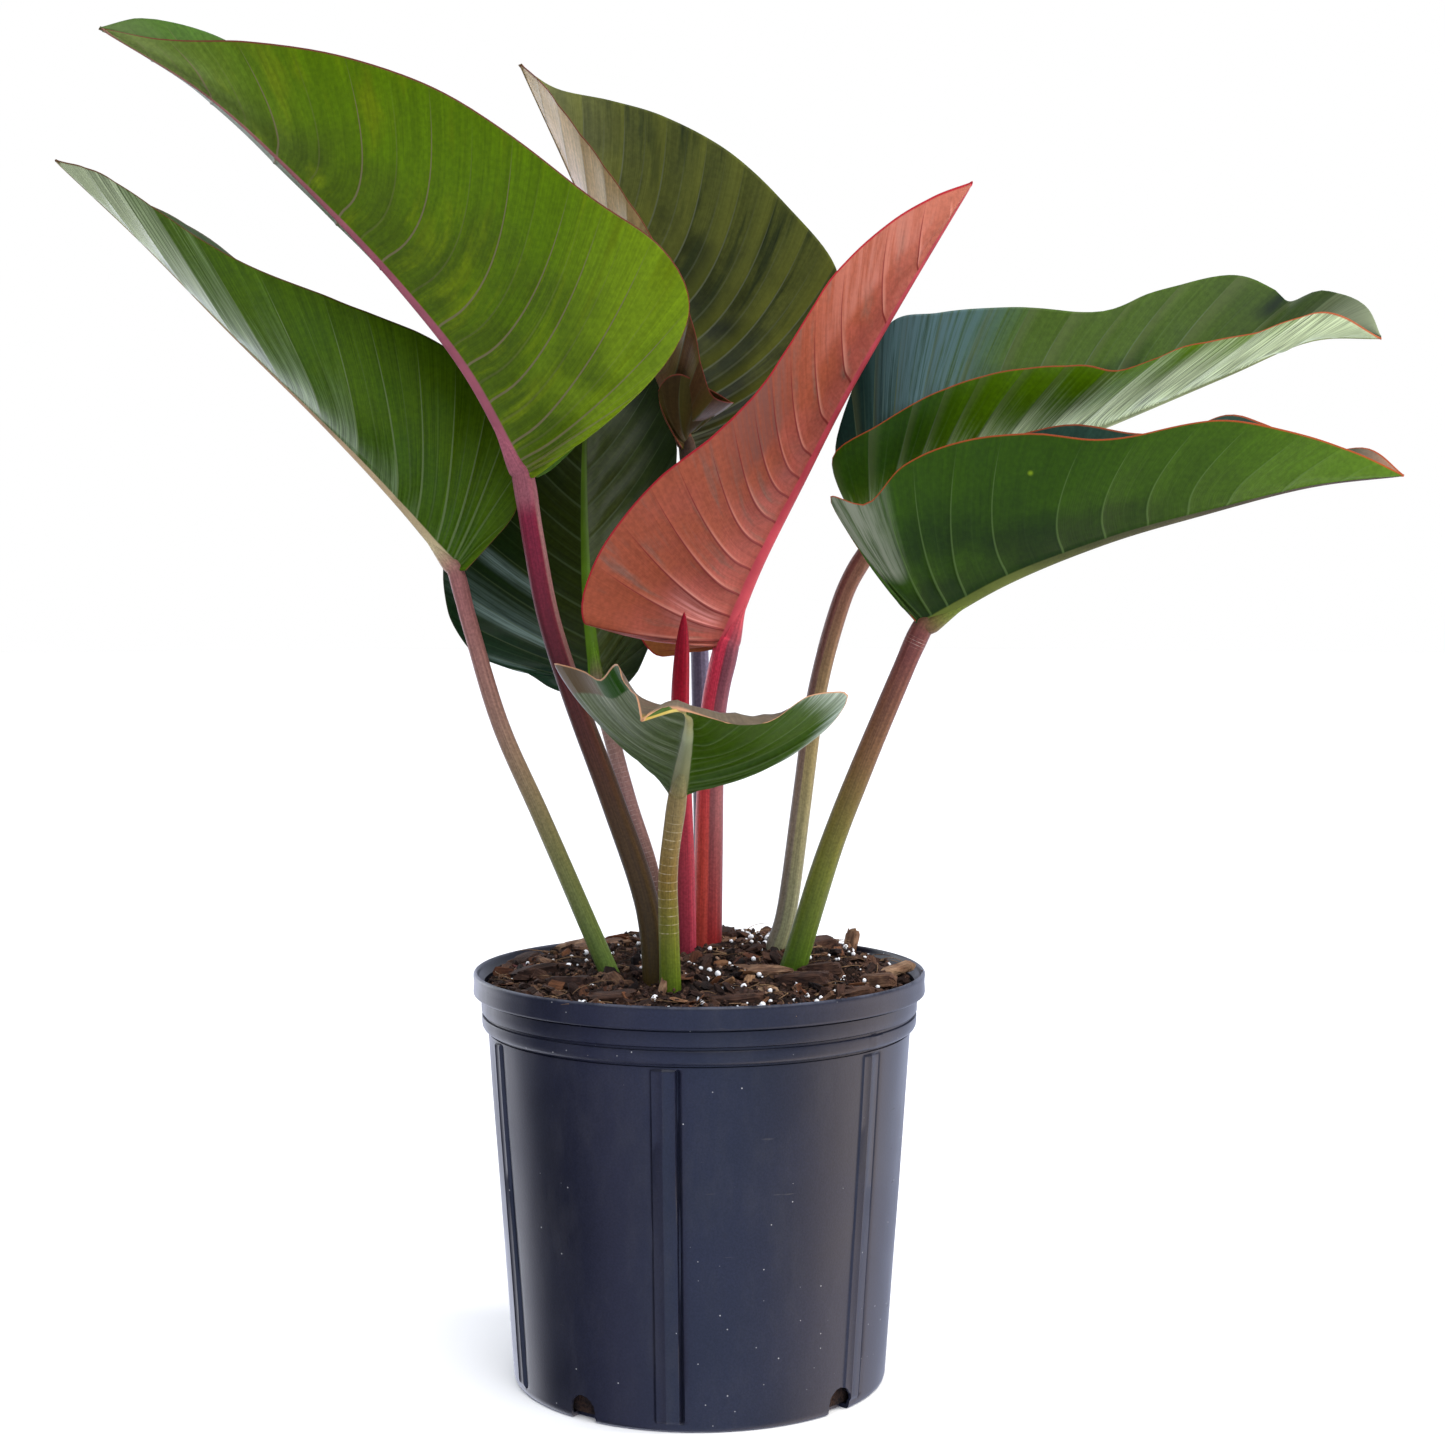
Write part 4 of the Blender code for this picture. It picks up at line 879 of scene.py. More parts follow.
# A thin line along the margin, full up to 0.6 of its width and gone at 1.6, on both halves or on one.
def marginColour(tree, at, colour, margin):
    band = mapped(tree, at["edgeGap"], margin["width"] * 0.6, margin["width"] * 1.6, 0.95, 0.0)
    if "side" in margin:
        band = times(tree, band, at["half"][margin["side"]])
    return mixColour(tree, band, colour, margin["colour"])


# The blade's finish: zones of colour, then streaks, painted crest highlights, painted silvery sheen, painted
# bands of sheen, reflection and shade, specks, veins, rib and margin, each laid on the one before. The same
# streaks raise the surface a little.
def leafFinish(name, look):
    finish, tree, shader = newFinish(name, look.get("coat", 0.0), 0.25, 0.07)
    at = leafGuides(tree)
    layers = []
    for layer in ("upper", "under"):
        colour = zoneColour(tree, at, look[layer])
        if layer + "Right" in look:
            colour = mixColour(tree, at["half"][1], colour, zoneColour(tree, at, look[layer + "Right"]))
        layers.append(colour)
    colour = mixColour(tree, at["under"], *layers)
    streaks = look.get("streaks", 1.0)
    colour = shade(tree, colour, at["streak"], 0.22 * streaks)
    colour = shade(tree, colour, at["hair"], 0.12 * streaks)
    colour = shade(tree, colour, noiseAt(tree, at["place"], 420, 2), 0.11)
    if "crestHighlight" in look:
        colour = paintedCrestHighlight(tree, at, colour, look["crestHighlight"])
    for paintedSilver in look.get("paintedSilver", ()):
        colour = paintedSilverSheen(tree, at, colour, paintedSilver)
    if "paintedBands" in look:
        colour = paintedBandColour(tree, at, colour, look["paintedBands"])
    if "specks" in look:
        spots = spotsAt(tree, at["place"], 75, look["specks"]["share"], 0.02, 0.16)
        spots = times(tree, spots, mapped(tree, at["spread"], 0.62, 0.85))
        colour = mixColour(tree, spots, colour, look["specks"]["colour"])
    colour = veinColour(tree, at, colour, look["vein"])
    colour = ribColour(tree, at, colour, look)
    colour = marginColour(tree, at, colour, look["margin"])
    roughness = mapped(tree, at["mottle"], 0.3, 0.7, 0.30, 0.42)
    height = plus(tree, times(tree, at["streak"], 0.9), times(tree, at["hair"], 0.35))
    feed(tree, shader, colour, roughness, height, 0.0006, 0.35)
    return finish


# Rings of a round stalk: centre + r (right cos + back sin). A leaf stalk has
# r = top + (foot - top)(1 - s)^1.5, swells a little at the knuckle and narrows over its merge into the rib;
# a pointed one has r = top + (foot - top)(1 - s^p).
def stalkMesh(line, radii, topRadius, seed, merge=0.0, pointed=0, groove=0.0, sides=32, rings=160):
    share = 1 - (1 - np.linspace(0, 1, rings)) ** 1.3
    centres = alongLine(line, share)
    forward = unit(np.gradient(centres, axis=0))
    right = unit(np.cross(forward, np.array([0.0, 1.0, 0.0])))
    back = np.cross(right, forward)
    length = np.linalg.norm(np.diff(centres, axis=0), axis=1).sum()
    toTop = (1 - share) * length
    if pointed:
        radius = radii[1] + (radii[0] - radii[1]) * (1 - share**pointed)
    else:
        radius = radii[1] + (radii[0] - radii[1]) * (1 - share) ** 1.5
        radius = radius * (1 + 0.05 * np.exp(-((toTop - merge - 7) / 8) ** 2))
        radius = topRadius + (radius - topRadius) * rise(toTop, 0, merge)
    radius = radius * np.sqrt(1 - (1 - np.clip(toTop / 3, 0, 1)) ** 2 + 0.02)
    turn = np.arange(sides) * 2 * math.pi / sides
    uneven = 1 + 0.05 * (latticeNoise(share[:, None] * 9 + 3, np.cos(turn) * 1.2 + 5, seed) - 0.5)
    uneven = uneven - groove * np.exp(-((turn - 1.5 * math.pi) / 0.22) ** 2) * rise(toTop, 4, 40)[:, None]
    circle = right[:, None] * np.cos(turn)[None, :, None] + back[:, None] * np.sin(turn)[None, :, None]
    grid = centres[:, None] + circle * (radius[:, None] * uneven)[..., None]
    count = rings * sides
    points = np.concatenate([grid.reshape(-1, 3), [centres[0], centres[-1] + forward[-1] * 0.2]])
    quads = gridQuads(rings, sides, wrap=True)[:, ::-1]
    caps = [capTriangles(count, np.arange(sides)),
            capTriangles(count + 1, np.arange(count - sides, count), inward=True)]
    around = np.stack([np.cos(turn)[None, :] + 0 * share[:, None], np.sin(turn)[None, :] + 0 * share[:, None],
                       (share * length * 0.01)[:, None] + 0 * turn[None, :]], -1).reshape(-1, 3)
    ends = np.array([[0, 0, 0], [0, 0, length * 0.01]])
    below = np.minimum(share * length / (length - merge), 1.0)
    blend = 1 - rise(toTop, 0.25 * merge, 1.1 * merge + 0.1)
    values = dict(lift=np.concatenate([np.repeat(below, sides), [0, 1]]),
                  around=np.concatenate([around, ends]),
                  blend=np.concatenate([np.repeat(blend, sides), [0, 1]]))
    return points, [quads] + caps, values


# The stalk's finish: four colours from foot to top, a second set on the left of a split one, the knuckle's
# and the rib's at its end, grain that runs lengthwise, and rings of old skin at even heights.
def stalkFinish(name, look):
    finish, tree, shader = newFinish(name, specular=0.12)
    lift, around = readValue(tree, "lift"), readVector(tree, "around")
    colour = rampColour(tree, lift, list(zip((0.14, 0.40, 0.68, 0.93), look["stalkColours"])))
    # on tall_left this second set is a painted highlight near the top and painted shadow below it
    if "split" in look:
        across = addNode(tree, "SeparateXYZ", [around], 0)
        edge = look["split"]["edge"]
        other = rampColour(tree, lift, list(zip((0.2, 0.55, 0.9), look["split"]["colours"])))
        colour = mixColour(tree, mapped(tree, across, edge - 0.1, edge + 0.1, 1.0, 0.0), colour, other)
    if "knuckle" in look:
        colour = mixColour(tree, mapped(tree, lift, 0.93, 0.975, 0.0, 0.8), colour, look["knuckle"])
    if "ribColours" in look:
        colour = mixColour(tree, readValue(tree, "blend"), colour, look["ribColours"][0])
    grain = noiseAt(tree, stretched(tree, around, (4.5, 4.5, 0.7)), 1.0, 4, 0.6)
    fine = noiseAt(tree, stretched(tree, around, (16, 16, 2.5)), 1.0, 3, 0.6)
    for noise, amount in ((grain, 0.20), (fine, 0.14), (noiseAt(tree, objectPlace(tree), 700, 2), 0.16)):
        colour = shade(tree, colour, noise, amount)
    if "ringed" in look:
        r = look["ringed"]
        band = calc(tree, "PINGPONG", times(tree, lift, r["count"]), 0.5)
        wander = times(tree, noiseAt(tree, stretched(tree, around, (2, 2, 9)), 1.0, 2), 0.22)
        thin = mapped(tree, plus(tree, band, wander), 0.08, 0.18, r["amount"], 0.0)
        inside = times(tree, mapped(tree, lift, r["start"] - 0.01, r["start"] + 0.01),
                       mapped(tree, lift, r["end"] - 0.01, r["end"] + 0.01, 1.0, 0.0))
        colour = mixColour(tree, times(tree, thin, inside), colour, r["colour"])
    roughness = mapped(tree, fine, 0.3, 0.7, 0.34, 0.5)
    height = plus(tree, grain, times(tree, fine, 0.5))
    feed(tree, shader, colour, roughness, height, 0.0008, 0.4)
    return finish


# The stretch of a stalk below the surface of the mix, put in front of its line.
def buriedLine(line, depth=34.0):
    foot, after = np.array(line[0], float), np.array(line[1], float)
    return [tuple(foot + unit((foot - after)[None])[0] * depth)] + list(line)


# The stalk's last stretch under the rib: it narrows from radius R to r, and its outer side sinks from
# R + 0.42 rib to just inside the rib's ridge, so the centre lies at outer side less radius below the rib.
def mergingLine(leaf, ribLine, ups, merge, topRadius):
    run = np.concatenate([[0.0], np.cumsum(np.linalg.norm(np.diff(ribLine, axis=0), axis=1))])
    away = np.linspace(0, merge, 6)
    places, tops = [np.stack([np.interp(away, run, rows[:, k]) for k in range(3)], -1)
                    for rows in (ribLine, ups)]
    sunk = rise(away, 0, merge)
    radius = leaf["radii"][1] + (topRadius - leaf["radii"][1]) * sunk
    outer = leaf["radii"][1] + 0.42 * leaf["ribWidth"][0]
    ridge = 0.95 * ribRadius(leaf, merge / run[-1]) + 0.1
    return [tuple(p) for p in places - unit(tops) * (outer + (ridge - outer) * sunk - radius)[:, None]]


# A leaf: its blade, and its stalk, which runs from below the mix to under the rib.
def makeLeaf(name, leaf, seed):
    points, faces, values, (ribLine, ups) = bladeMesh(leaf, seed)
    blade = makePiece("leaf_" + name, points, faces, leafFinish("leaf " + name, leaf), leaf["slot"], values)
    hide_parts("blade_" + name)
    merge = leaf.get("merge", 30.0)
    topRadius = leaf["ribWidth"][0] * 0.42
    line = buriedLine(leaf["stalk"][:-1]) + mergingLine(leaf, ribLine, ups, merge, topRadius)
    groove = 0.12 if "split" in leaf else 0.0
    points, faces, values = stalkMesh(line, leaf["radii"], topRadius, seed + 50, merge, groove=groove)
    slot = "stalk_red" if name == "new_red" else "stalk_mixed"
    stalk = makePiece("stalk_" + name, points, faces, stalkFinish("stalk " + name, leaf), slot, values)
    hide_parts("petiole_" + name)


for number, (name, leaf) in enumerate(leaves.items()):
    makeLeaf(name, leaf, 11 + number)
print("stage 3: eight leaves on their stalks")


# The red sheath that the next leaf will break from.
spear = dict(
    line=[(-7, 7, 241), (-8, 2, 291), (-9.5, -5, 336), (-10.5, -14, 382), (-8, -24, 432)], radii=(5.2, 0.5),
    pointed=14,
    stalkColours=((0.27, 0.030, 0.050), (0.29, 0.028, 0.042), (0.27, 0.004, 0.016), (0.20, 0.003, 0.012)),
)


# The sheath is a pointed stalk with a groove down its front.
def makeSpear(s):
    line = buriedLine(s["line"])
    points, faces, values = stalkMesh(line, s["radii"], s["radii"][1], 71, pointed=s["pointed"], groove=0.10)
    sheath = makePiece("sheath_red", points, faces, stalkFinish("red sheath", s), "stalk_red", values)
    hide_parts("spear_red")


makeSpear(spear)
print("stage 4: the red sheath")


# The pot, turned from a profile of radius and height in mm, with upright seams and drain notches.
pot = dict(
    height=231.0, rimRadius=127.0, rimBand=12.4, stepRadius=122.5, stepBand=9.5, shoulderRadius=122.2,
    shoulderFoot=199.0, wallTopRadius=118.8, baseRadius=105.0, wall=1.8, floor=2.2,
    seams=6, firstSeam=-8.5, seamLow=5.0, seamHigh=196.0, tabSeam=1,
    notchAngles=(-36.0, 46.5, 144.0, 226.5), notchWidth=16.0, notchHeight=14.0, notchInnerRadius=98.0,
    colour=(0.0065, 0.0078, 0.017), dust=(0.16, 0.15, 0.14), specks=(0.45, 0.45, 0.46),
    # lip: the top edge's colour, partly wear and partly a painted highlight
    lip=(0.12, 0.13, 0.18),
)
# Relief of a seam: mm along the wall from its middle, and mm outward there.
seamAlong = (-8.0, -7.2, -6.6, -6.2, -1.7, -1.2, -0.6, -0.1, 5.5, 6.1, 6.4, 6.7, 7.6, 8.5, 9.4, 12.0)
seamOut = (0.0, 0.1, 0.85, 1.0, 1.0, 1.35, 1.35, 0.95, 1.1, 0.9, -0.5, -2.0, -2.0, -0.5, -0.1, 0.0)


# Radius of the plain wall: base + (top - base) z / z of the shoulder.
def wallRadius(height):
    share = np.minimum(height / pot["shoulderFoot"], 1.0)
    return pot["baseRadius"] + (pot["wallTopRadius"] - pot["baseRadius"]) * share


# Angles of the wall's columns in degrees from the front toward +X, close together at the seams.
def wallAngles():
    middleRadius = 112.0
    near = np.array([-10.0, -8.8] + list(seamAlong) + [14.0, 17.0]) / middleRadius * 180 / math.pi
    spacing = 360 / pot["seams"]
    far = np.linspace(near[-1], spacing + near[0], 24)[1:-1]
    return np.concatenate([pot["firstSeam"] + k * spacing + np.concatenate([near, far])
                           for k in range(pot["seams"])])


# Points of a turned profile: (r sin a, -r cos a, z), with r moved out by the seams' relief.
def turnedRings(profile, angles):
    radius = np.array([p[0] for p in profile])[:, None] + 0 * angles[None, :]
    height = np.array([p[1] for p in profile])[:, None] + 0 * angles[None, :]
    spacing = 360 / pot["seams"]
    number = np.floor((angles - pot["firstSeam"] + spacing / 2) / spacing)
    along = np.radians(angles - pot["firstSeam"] - number * spacing) * radius
    span = rise(height, pot["seamLow"] - 1, pot["seamLow"] + 1.5)
    span = span * (1 - rise(height, pot["seamHigh"] - 0.6, pot["seamHigh"] + 1.2))
    radius = radius + np.interp(along, seamAlong, seamOut) * span
    tab = (number % pot["seams"] == pot["tabSeam"]) * rise(along, -6.5, -6) * (1 - rise(along, 5.2, 6))
    onShoulder = rise(height, 198.4, 199.5) * (1 - rise(height, 206.6, 207.2))
    radius = radius + 0.55 * tab * onShoulder
    warp = latticeNoise(3 + 2 * np.cos(np.radians(angles)) + 0 * height, height / 70 + 5, 9)
    warp = warp + latticeNoise(9 + 2 * np.sin(np.radians(angles)) + 0 * height, height / 55 + 9, 10) - 1.0
    radius = radius + 0.35 * warp * rise(height, 5, 40)
    a = np.radians(angles)
    return np.stack([radius * np.sin(a), -radius * np.cos(a), height], -1)


# Guides for the drain notches: an arch of n points pushed through the wall, turned to each angle.
def notchGuide():
    half = pot["notchWidth"] / 2
    spring = pot["notchHeight"] - half
    turn = np.linspace(0, math.pi, 17)
    rough = 1 + 0.07 * (np.random.default_rng(4).random(17) - 0.5)
    arch = np.stack([half * np.cos(turn) * rough, spring + half * np.sin(turn) * rough], -1)
    arch = np.concatenate([[(-half, -4.0), (half, -4.0)], arch])
    count = len(arch)
    points, faces = [], []
    for angle in np.radians(pot["notchAngles"]):
        for radius in (pot["notchInnerRadius"], pot["notchInnerRadius"] + 30):
            x, y = arch[:, 0], -radius + 0 * arch[:, 0]
            points.append(np.stack([x * math.cos(angle) - y * math.sin(angle),
                                    x * math.sin(angle) + y * math.cos(angle), arch[:, 1]], -1))
        base = (len(points) - 2) * count
        ring = list(range(base, base + count))
        faces += [tuple(reversed(ring)), tuple(i + count for i in ring)]
        faces += [(i, j, j + count, i + count) for i, j in zip(ring, ring[1:] + ring[:1])]
    mesh = bpy.data.meshes.new("notch guide")
    mesh.from_pydata((np.concatenate(points) * mm).tolist(), [], faces)
    guide = bpy.data.objects.new("notch_guide", mesh)
    bpy.context.scene.collection.objects.link(guide)
    return guide


# The pot's finish: satin black with a film of dust where it was rubbed, pale scuffs round the wall, specks of
# lime, and a lip lighter at its very top, partly wear and partly a painted highlight.
def potFinish(p):
    finish, tree, shader = newFinish("pot plastic", specular=0.24)
    place = objectPlace(tree)
    broad, grain = noiseAt(tree, place, 9, 3), noiseAt(tree, place, 900, 2)
    rub = noiseAt(tree, stretched(tree, place, (40, 40, 14)), 1.0, 5, 0.7)
    scuff = noiseAt(tree, stretched(tree, place, (30, 30, 300)), 1.0, 3, 0.6)
    colour = shade(tree, p["colour"], broad, 0.25)
    colour = shade(tree, colour, grain, 0.2)
    film = times(tree, mapped(tree, rub, 0.42, 0.75), 0.05)
    film = plus(tree, film, mapped(tree, scuff, 0.70, 0.80, 0.0, 0.25))
    colour = mixColour(tree, film, colour, p["dust"])
    share = mapped(tree, broad, 0.4, 0.7, 0.02, 0.14)
    colour = mixColour(tree, spotsAt(tree, place, 260, share, 0.04, 0.14), colour, p["specks"])
    height = addNode(tree, "SeparateXYZ", [place], 2)
    # the lip's top painted lighter: partly wear, partly a painted highlight
    lipWearAndHighlight = mapped(tree, height, (p["height"] - 1.6) * mm, (p["height"] - 0.3) * mm, 0.0, 0.4)
    lipWearAndHighlight = times(tree, lipWearAndHighlight, mapped(tree, rub, 0.35, 0.6))
    colour = mixColour(tree, lipWearAndHighlight, colour, p["lip"])
    roughness = plus(tree, mapped(tree, broad, 0.3, 0.7, 0.30, 0.44), times(tree, film, 1.2))
    feed(tree, shader, colour, roughness, plus(tree, times(tree, grain, 0.5), broad), 0.00025, 0.35)
    return finish


# Outer and inner profile from the foot to the lip, as (radius, height) in mm.
def potProfiles(p):
    base, wallTop, shoulder = p["baseRadius"], p["wallTopRadius"], p["shoulderRadius"]
    step, rim, top, wall = p["stepRadius"], p["rimRadius"], p["height"], p["wall"]
    bandFoot = top - p["rimBand"]
    stepFoot = bandFoot - p["stepBand"]
    wallHeights = np.concatenate([[3, 4, 4.6, 5.2, 5.8, 6.5, 8], np.linspace(12, 190, 24),
                                  [194, 195.4, 196, 196.6, 197.2]])
    outer = [
        (base - 2.6, 0.0), (base - 1.2, 0.25), (base - 0.4, 1.0),
        *((wallRadius(z), z) for z in wallHeights),
        (wallTop - 0.1, 197.7), (wallTop - 0.9, 198.0), (wallTop - 0.9, 198.9), (wallTop + 0.5, 199.1),
        (shoulder - 1.9, 199.4), (shoulder - 0.9, 200.2), (shoulder - 0.25, 201.4), (shoulder, 203.0),
        (shoulder + 0.1, 206.6), (shoulder - 0.1, 207.0), (shoulder - 1.3, 207.3),
        (shoulder - 1.4, stepFoot - 0.7), (shoulder - 0.9, stepFoot - 0.3), (step - 0.3, stepFoot),
        (step, stepFoot + 0.5), (step + 0.1, stepFoot + 4), (step - 0.1, bandFoot - 1.6),
        (step - 1.2, bandFoot - 1.3), (step - 1.2, bandFoot - 0.4), (rim - 2.6, bandFoot - 0.25),
        (rim - 0.8, bandFoot), (rim - 0.2, bandFoot + 0.5), (rim, bandFoot + 1.5), (rim - 0.35, bandFoot + 6),
        (rim - 0.25, top - 4), (rim - 0.05, top - 2.4), (rim - 0.1, top - 1.3), (rim - 0.6, top - 0.45),
        (rim - 1.3, top),
    ]
    inner = [
        (base - wall, p["floor"]),
        *((wallRadius(z) - wall, z) for z in wallHeights),
        (shoulder - wall, 205.0), (rim - 6.0, top - 6), (rim - 3.4, top - 3.6), (rim - 2.6, top - 2.2),
        (rim - 2.3, top - 0.9), (rim - 1.8, top - 0.15),
    ]
    return outer, inner


# The pot: the outer profile up, the inner one down, a cap below and one on the floor, and the notches cut.
def makePot(p):
    angles = wallAngles()
    outer, inner = [turnedRings(profile, angles) for profile in potProfiles(p)]
    rings = np.concatenate([outer, inner[::-1]])
    count, columns = rings.shape[:2]
    low, high = count * columns, count * columns + 1
    points = np.concatenate([rings.reshape(-1, 3), [(0, 0, 0), (0, 0, p["floor"])]])
    faces = [gridQuads(count, columns, wrap=True), capTriangles(low, np.arange(columns), inward=True),
             capTriangles(high, np.arange(low - columns, low))]
    body = makePiece("pot_body", points, faces, potFinish(p), "pot_plastic")
    guide = notchGuide()
    cut = body.modifiers.new("notches", "BOOLEAN")
    cut.operation, cut.solver, cut.object = "DIFFERENCE", "EXACT", guide
    ready = body.evaluated_get(bpy.context.evaluated_depsgraph_get())
    mesh = bpy.data.meshes.new_from_object(ready)
    body.modifiers.clear()
    body.data = mesh
    bpy.data.objects.remove(guide)
    mesh.shade_smooth()
    mesh.set_sharp_from_angle(angle=math.radians(40))
    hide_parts("pot")


makePot(pot)
print("stage 5: the pot")


# The potting mix: a heaped, crumbly surface with bark, flakes, beads of perlite and fibres on it.
mix = dict(
    rimHeight=223.0, moundHeight=17.0, moundCentre=(6.0, 42.0), moundSpread=78.0, lumpHeight=1.5,
    radius=119.6, sideRadius=4.4, rings=100, columns=300,
    dark=(0.005, 0.0035, 0.003), brown=(0.028, 0.014, 0.009), warm=(0.068, 0.035, 0.019),
    smallChips=1100, crumbs=4200, flakes=70, beads=270, fibres=240, rimCrumbs=45,
    rimCrumbRadius=125.3, rimCrumbHeight=231.1,
)
# Chips that show one by one: x, y, length, width, thickness in mm, turn and lean in degrees, tone 0 to 1.
bigChips = [
    (30, -34, 50, 11, 5, -42, 4, 0.80), (66, -28, 24, 15, 8, 10, 6, 0.42), (98, -36, 20, 14, 9, -18, 5, 0.66),
    (89, 82, 22, 8, 6, 60, 62, 0.74), (108, -2, 26, 12, 5, 24, 12, 0.86), (-72, 52, 24, 14, 6, -28, 10, 0.84),
    (-92, -18, 26, 14, 7, 32, 8, 0.30), (-19, -70, 14, 4, 3, 70, 55, 0.82),
    (57, -52, 28, 18, 8, -12, 4, 0.36), (8, 44, 24, 14, 7, 14, 8, 0.34), (40, 106, 22, 12, 6, -30, 12, 0.55),
    (-58, 40, 30, 14, 6, 20, 6, 0.70), (-70, -50, 28, 14, 8, -35, 6, 0.32), (66, 40, 26, 16, 7, 38, 8, 0.48),
    (-100, 34, 20, 12, 6, 70, 8, 0.28), (20, -84, 28, 12, 6, 6, 4, 0.40), (84, -68, 22, 12, 6, 30, 6, 0.52),
    (-46, -82, 24, 12, 6, -8, 6, 0.38),
]


# Height of the mix: rim + mound exp(-d^2 / 2 s^2) edge^0.4 + lumps of crossed sine waves, as the solid has
# it.
def mixHeight(x, y):
    m = mix
    away = ((x - m["moundCentre"][0])**2 + (y - m["moundCentre"][1])**2) / (2 * m["moundSpread"]**2)
    lumps = np.sin(x * 0.31 + 1.3 * np.sin(y * 0.17)) * np.sin(y * 0.27 + 0.9 * np.sin(x * 0.13 + 2))
    lumps = lumps + 0.6 * np.sin(x * 0.11 + y * 0.19 + 1.0)
    edge = np.clip((118 - np.hypot(x, y)) / 30, 0, 1)
    return m["rimHeight"] + m["moundHeight"] * np.exp(-away) * edge**0.4 + m["lumpHeight"] * lumps * edge


# Crumbs: three sizes of value noise, the largest folded so that it makes ridges and pits.
def crumbs(x, y):
    large = 1 - np.abs(latticeNoise(x / 7 + 40, y / 7 + 40, 1) * 2 - 1)
    medium = latticeNoise(x / 3.2 + 40, y / 3.2 + 40, 2)
    small = latticeNoise(x / 1.5 + 90, y / 1.5 + 90, 3)
    return 3.0 * (large - 0.6) + 3.0 * (medium - 0.5) + 1.8 * (small - 0.5)


# The mix's finish: dark, brown and warm by the larger lumps, shaded by the smaller crumbs.
def mixFinish(m):
    finish, tree, shader = newFinish("potting mix", specular=0.2)
    place = objectPlace(tree)
    lump = noiseAt(tree, place, 170, 4, 0.65)
    crumb = noiseAt(tree, place, 700, 4, 0.7)
    colour = rampColour(tree, lump, [(0.3, m["dark"]), (0.55, m["brown"]), (0.8, m["warm"])])
    colour = shade(tree, colour, crumb, 0.5)
    feed(tree, shader, colour, 0.95, plus(tree, lump, crumb), 0.003, 0.8)
    return finish


# The fill: rings up its side, under the pot's wall, and inward over the heaped top, with two caps.
def makeMix(m):
    turn = np.linspace(0, 2 * math.pi, m["columns"], endpoint=False)
    reach = m["radius"] * (1 - np.linspace(0, 1, m["rings"], endpoint=False)[:, None] ** 0.85)
    x, y = reach * np.sin(turn), -reach * np.cos(turn)
    inner = np.clip((m["radius"] - reach) / 4, 0, 1)
    top = np.stack([x, y, mixHeight(x, y) + crumbs(x, y) * inner], -1)
    sideHeights = np.array([3.0, 4.0, 20.0, 60.0, 110.0, 160.0, 196.0, 210.0])[:, None]
    sideRadius = wallRadius(sideHeights) - m["sideRadius"] + 0 * turn[None, :]
    sideRadius = sideRadius + 0.5 * latticeNoise(turn[None, :] * 30, sideHeights / 5, 5)
    sideRadius[-1] = m["radius"] - 0.6
    side = np.stack([sideRadius * np.sin(turn), -sideRadius * np.cos(turn), sideHeights + 0 * turn], -1)
    rings = np.concatenate([side, top])
    count, columns = rings.shape[:2]
    low = count * columns
    middle = float(mixHeight(np.float64(0), np.float64(0)))
    points = np.concatenate([rings.reshape(-1, 3), [(0, 0, 3.0), (0, 0, middle)]])
    faces = [gridQuads(count, columns, wrap=True), capTriangles(low, np.arange(columns), inward=True),
             capTriangles(low + 1, np.arange(low - columns, low))]
    body = makePiece("mix_fill", points, faces, mixFinish(m), "potting_mix")
    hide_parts("potting_mix")


# Random places on the mix, clear of the stalks: r = R sqrt(u), seeded.
def mixPlaces(rng, count, reach, clearance):
    radius = reach * np.sqrt(rng.random(count * 2))
    turn = 2 * math.pi * rng.random(count * 2)
    x, y = radius * np.cos(turn), radius * np.sin(turn)
    feet = np.array([leaf["stalk"][0][:2] for leaf in leaves.values()] + [spear["line"][0][:2]], float)
    gap = np.hypot(x[:, None] - feet[:, 0], y[:, None] - feet[:, 1]).min(axis=1)
    keep = np.flatnonzero(gap > clearance)[:count]
    return x[keep], y[keep]


# Turn matrices from yaw, pitch and roll in radians, one for each item.
def turnMatrices(yaw, pitch, roll):
    one, none = np.ones_like(yaw), np.zeros_like(yaw)
    cy, cp, cr = [np.cos(angle) for angle in (yaw, pitch, roll)]
    sy, sp, sr = [np.sin(angle) for angle in (yaw, pitch, roll)]
    z = np.stack([cy, -sy, none, sy, cy, none, none, none, one], -1).reshape(-1, 3, 3)
    y = np.stack([cp, none, sp, none, one, none, -sp, none, cp], -1).reshape(-1, 3, 3)
    x = np.stack([one, none, none, none, cr, -sr, none, sr, cr], -1).reshape(-1, 3, 3)
    return z @ y @ x


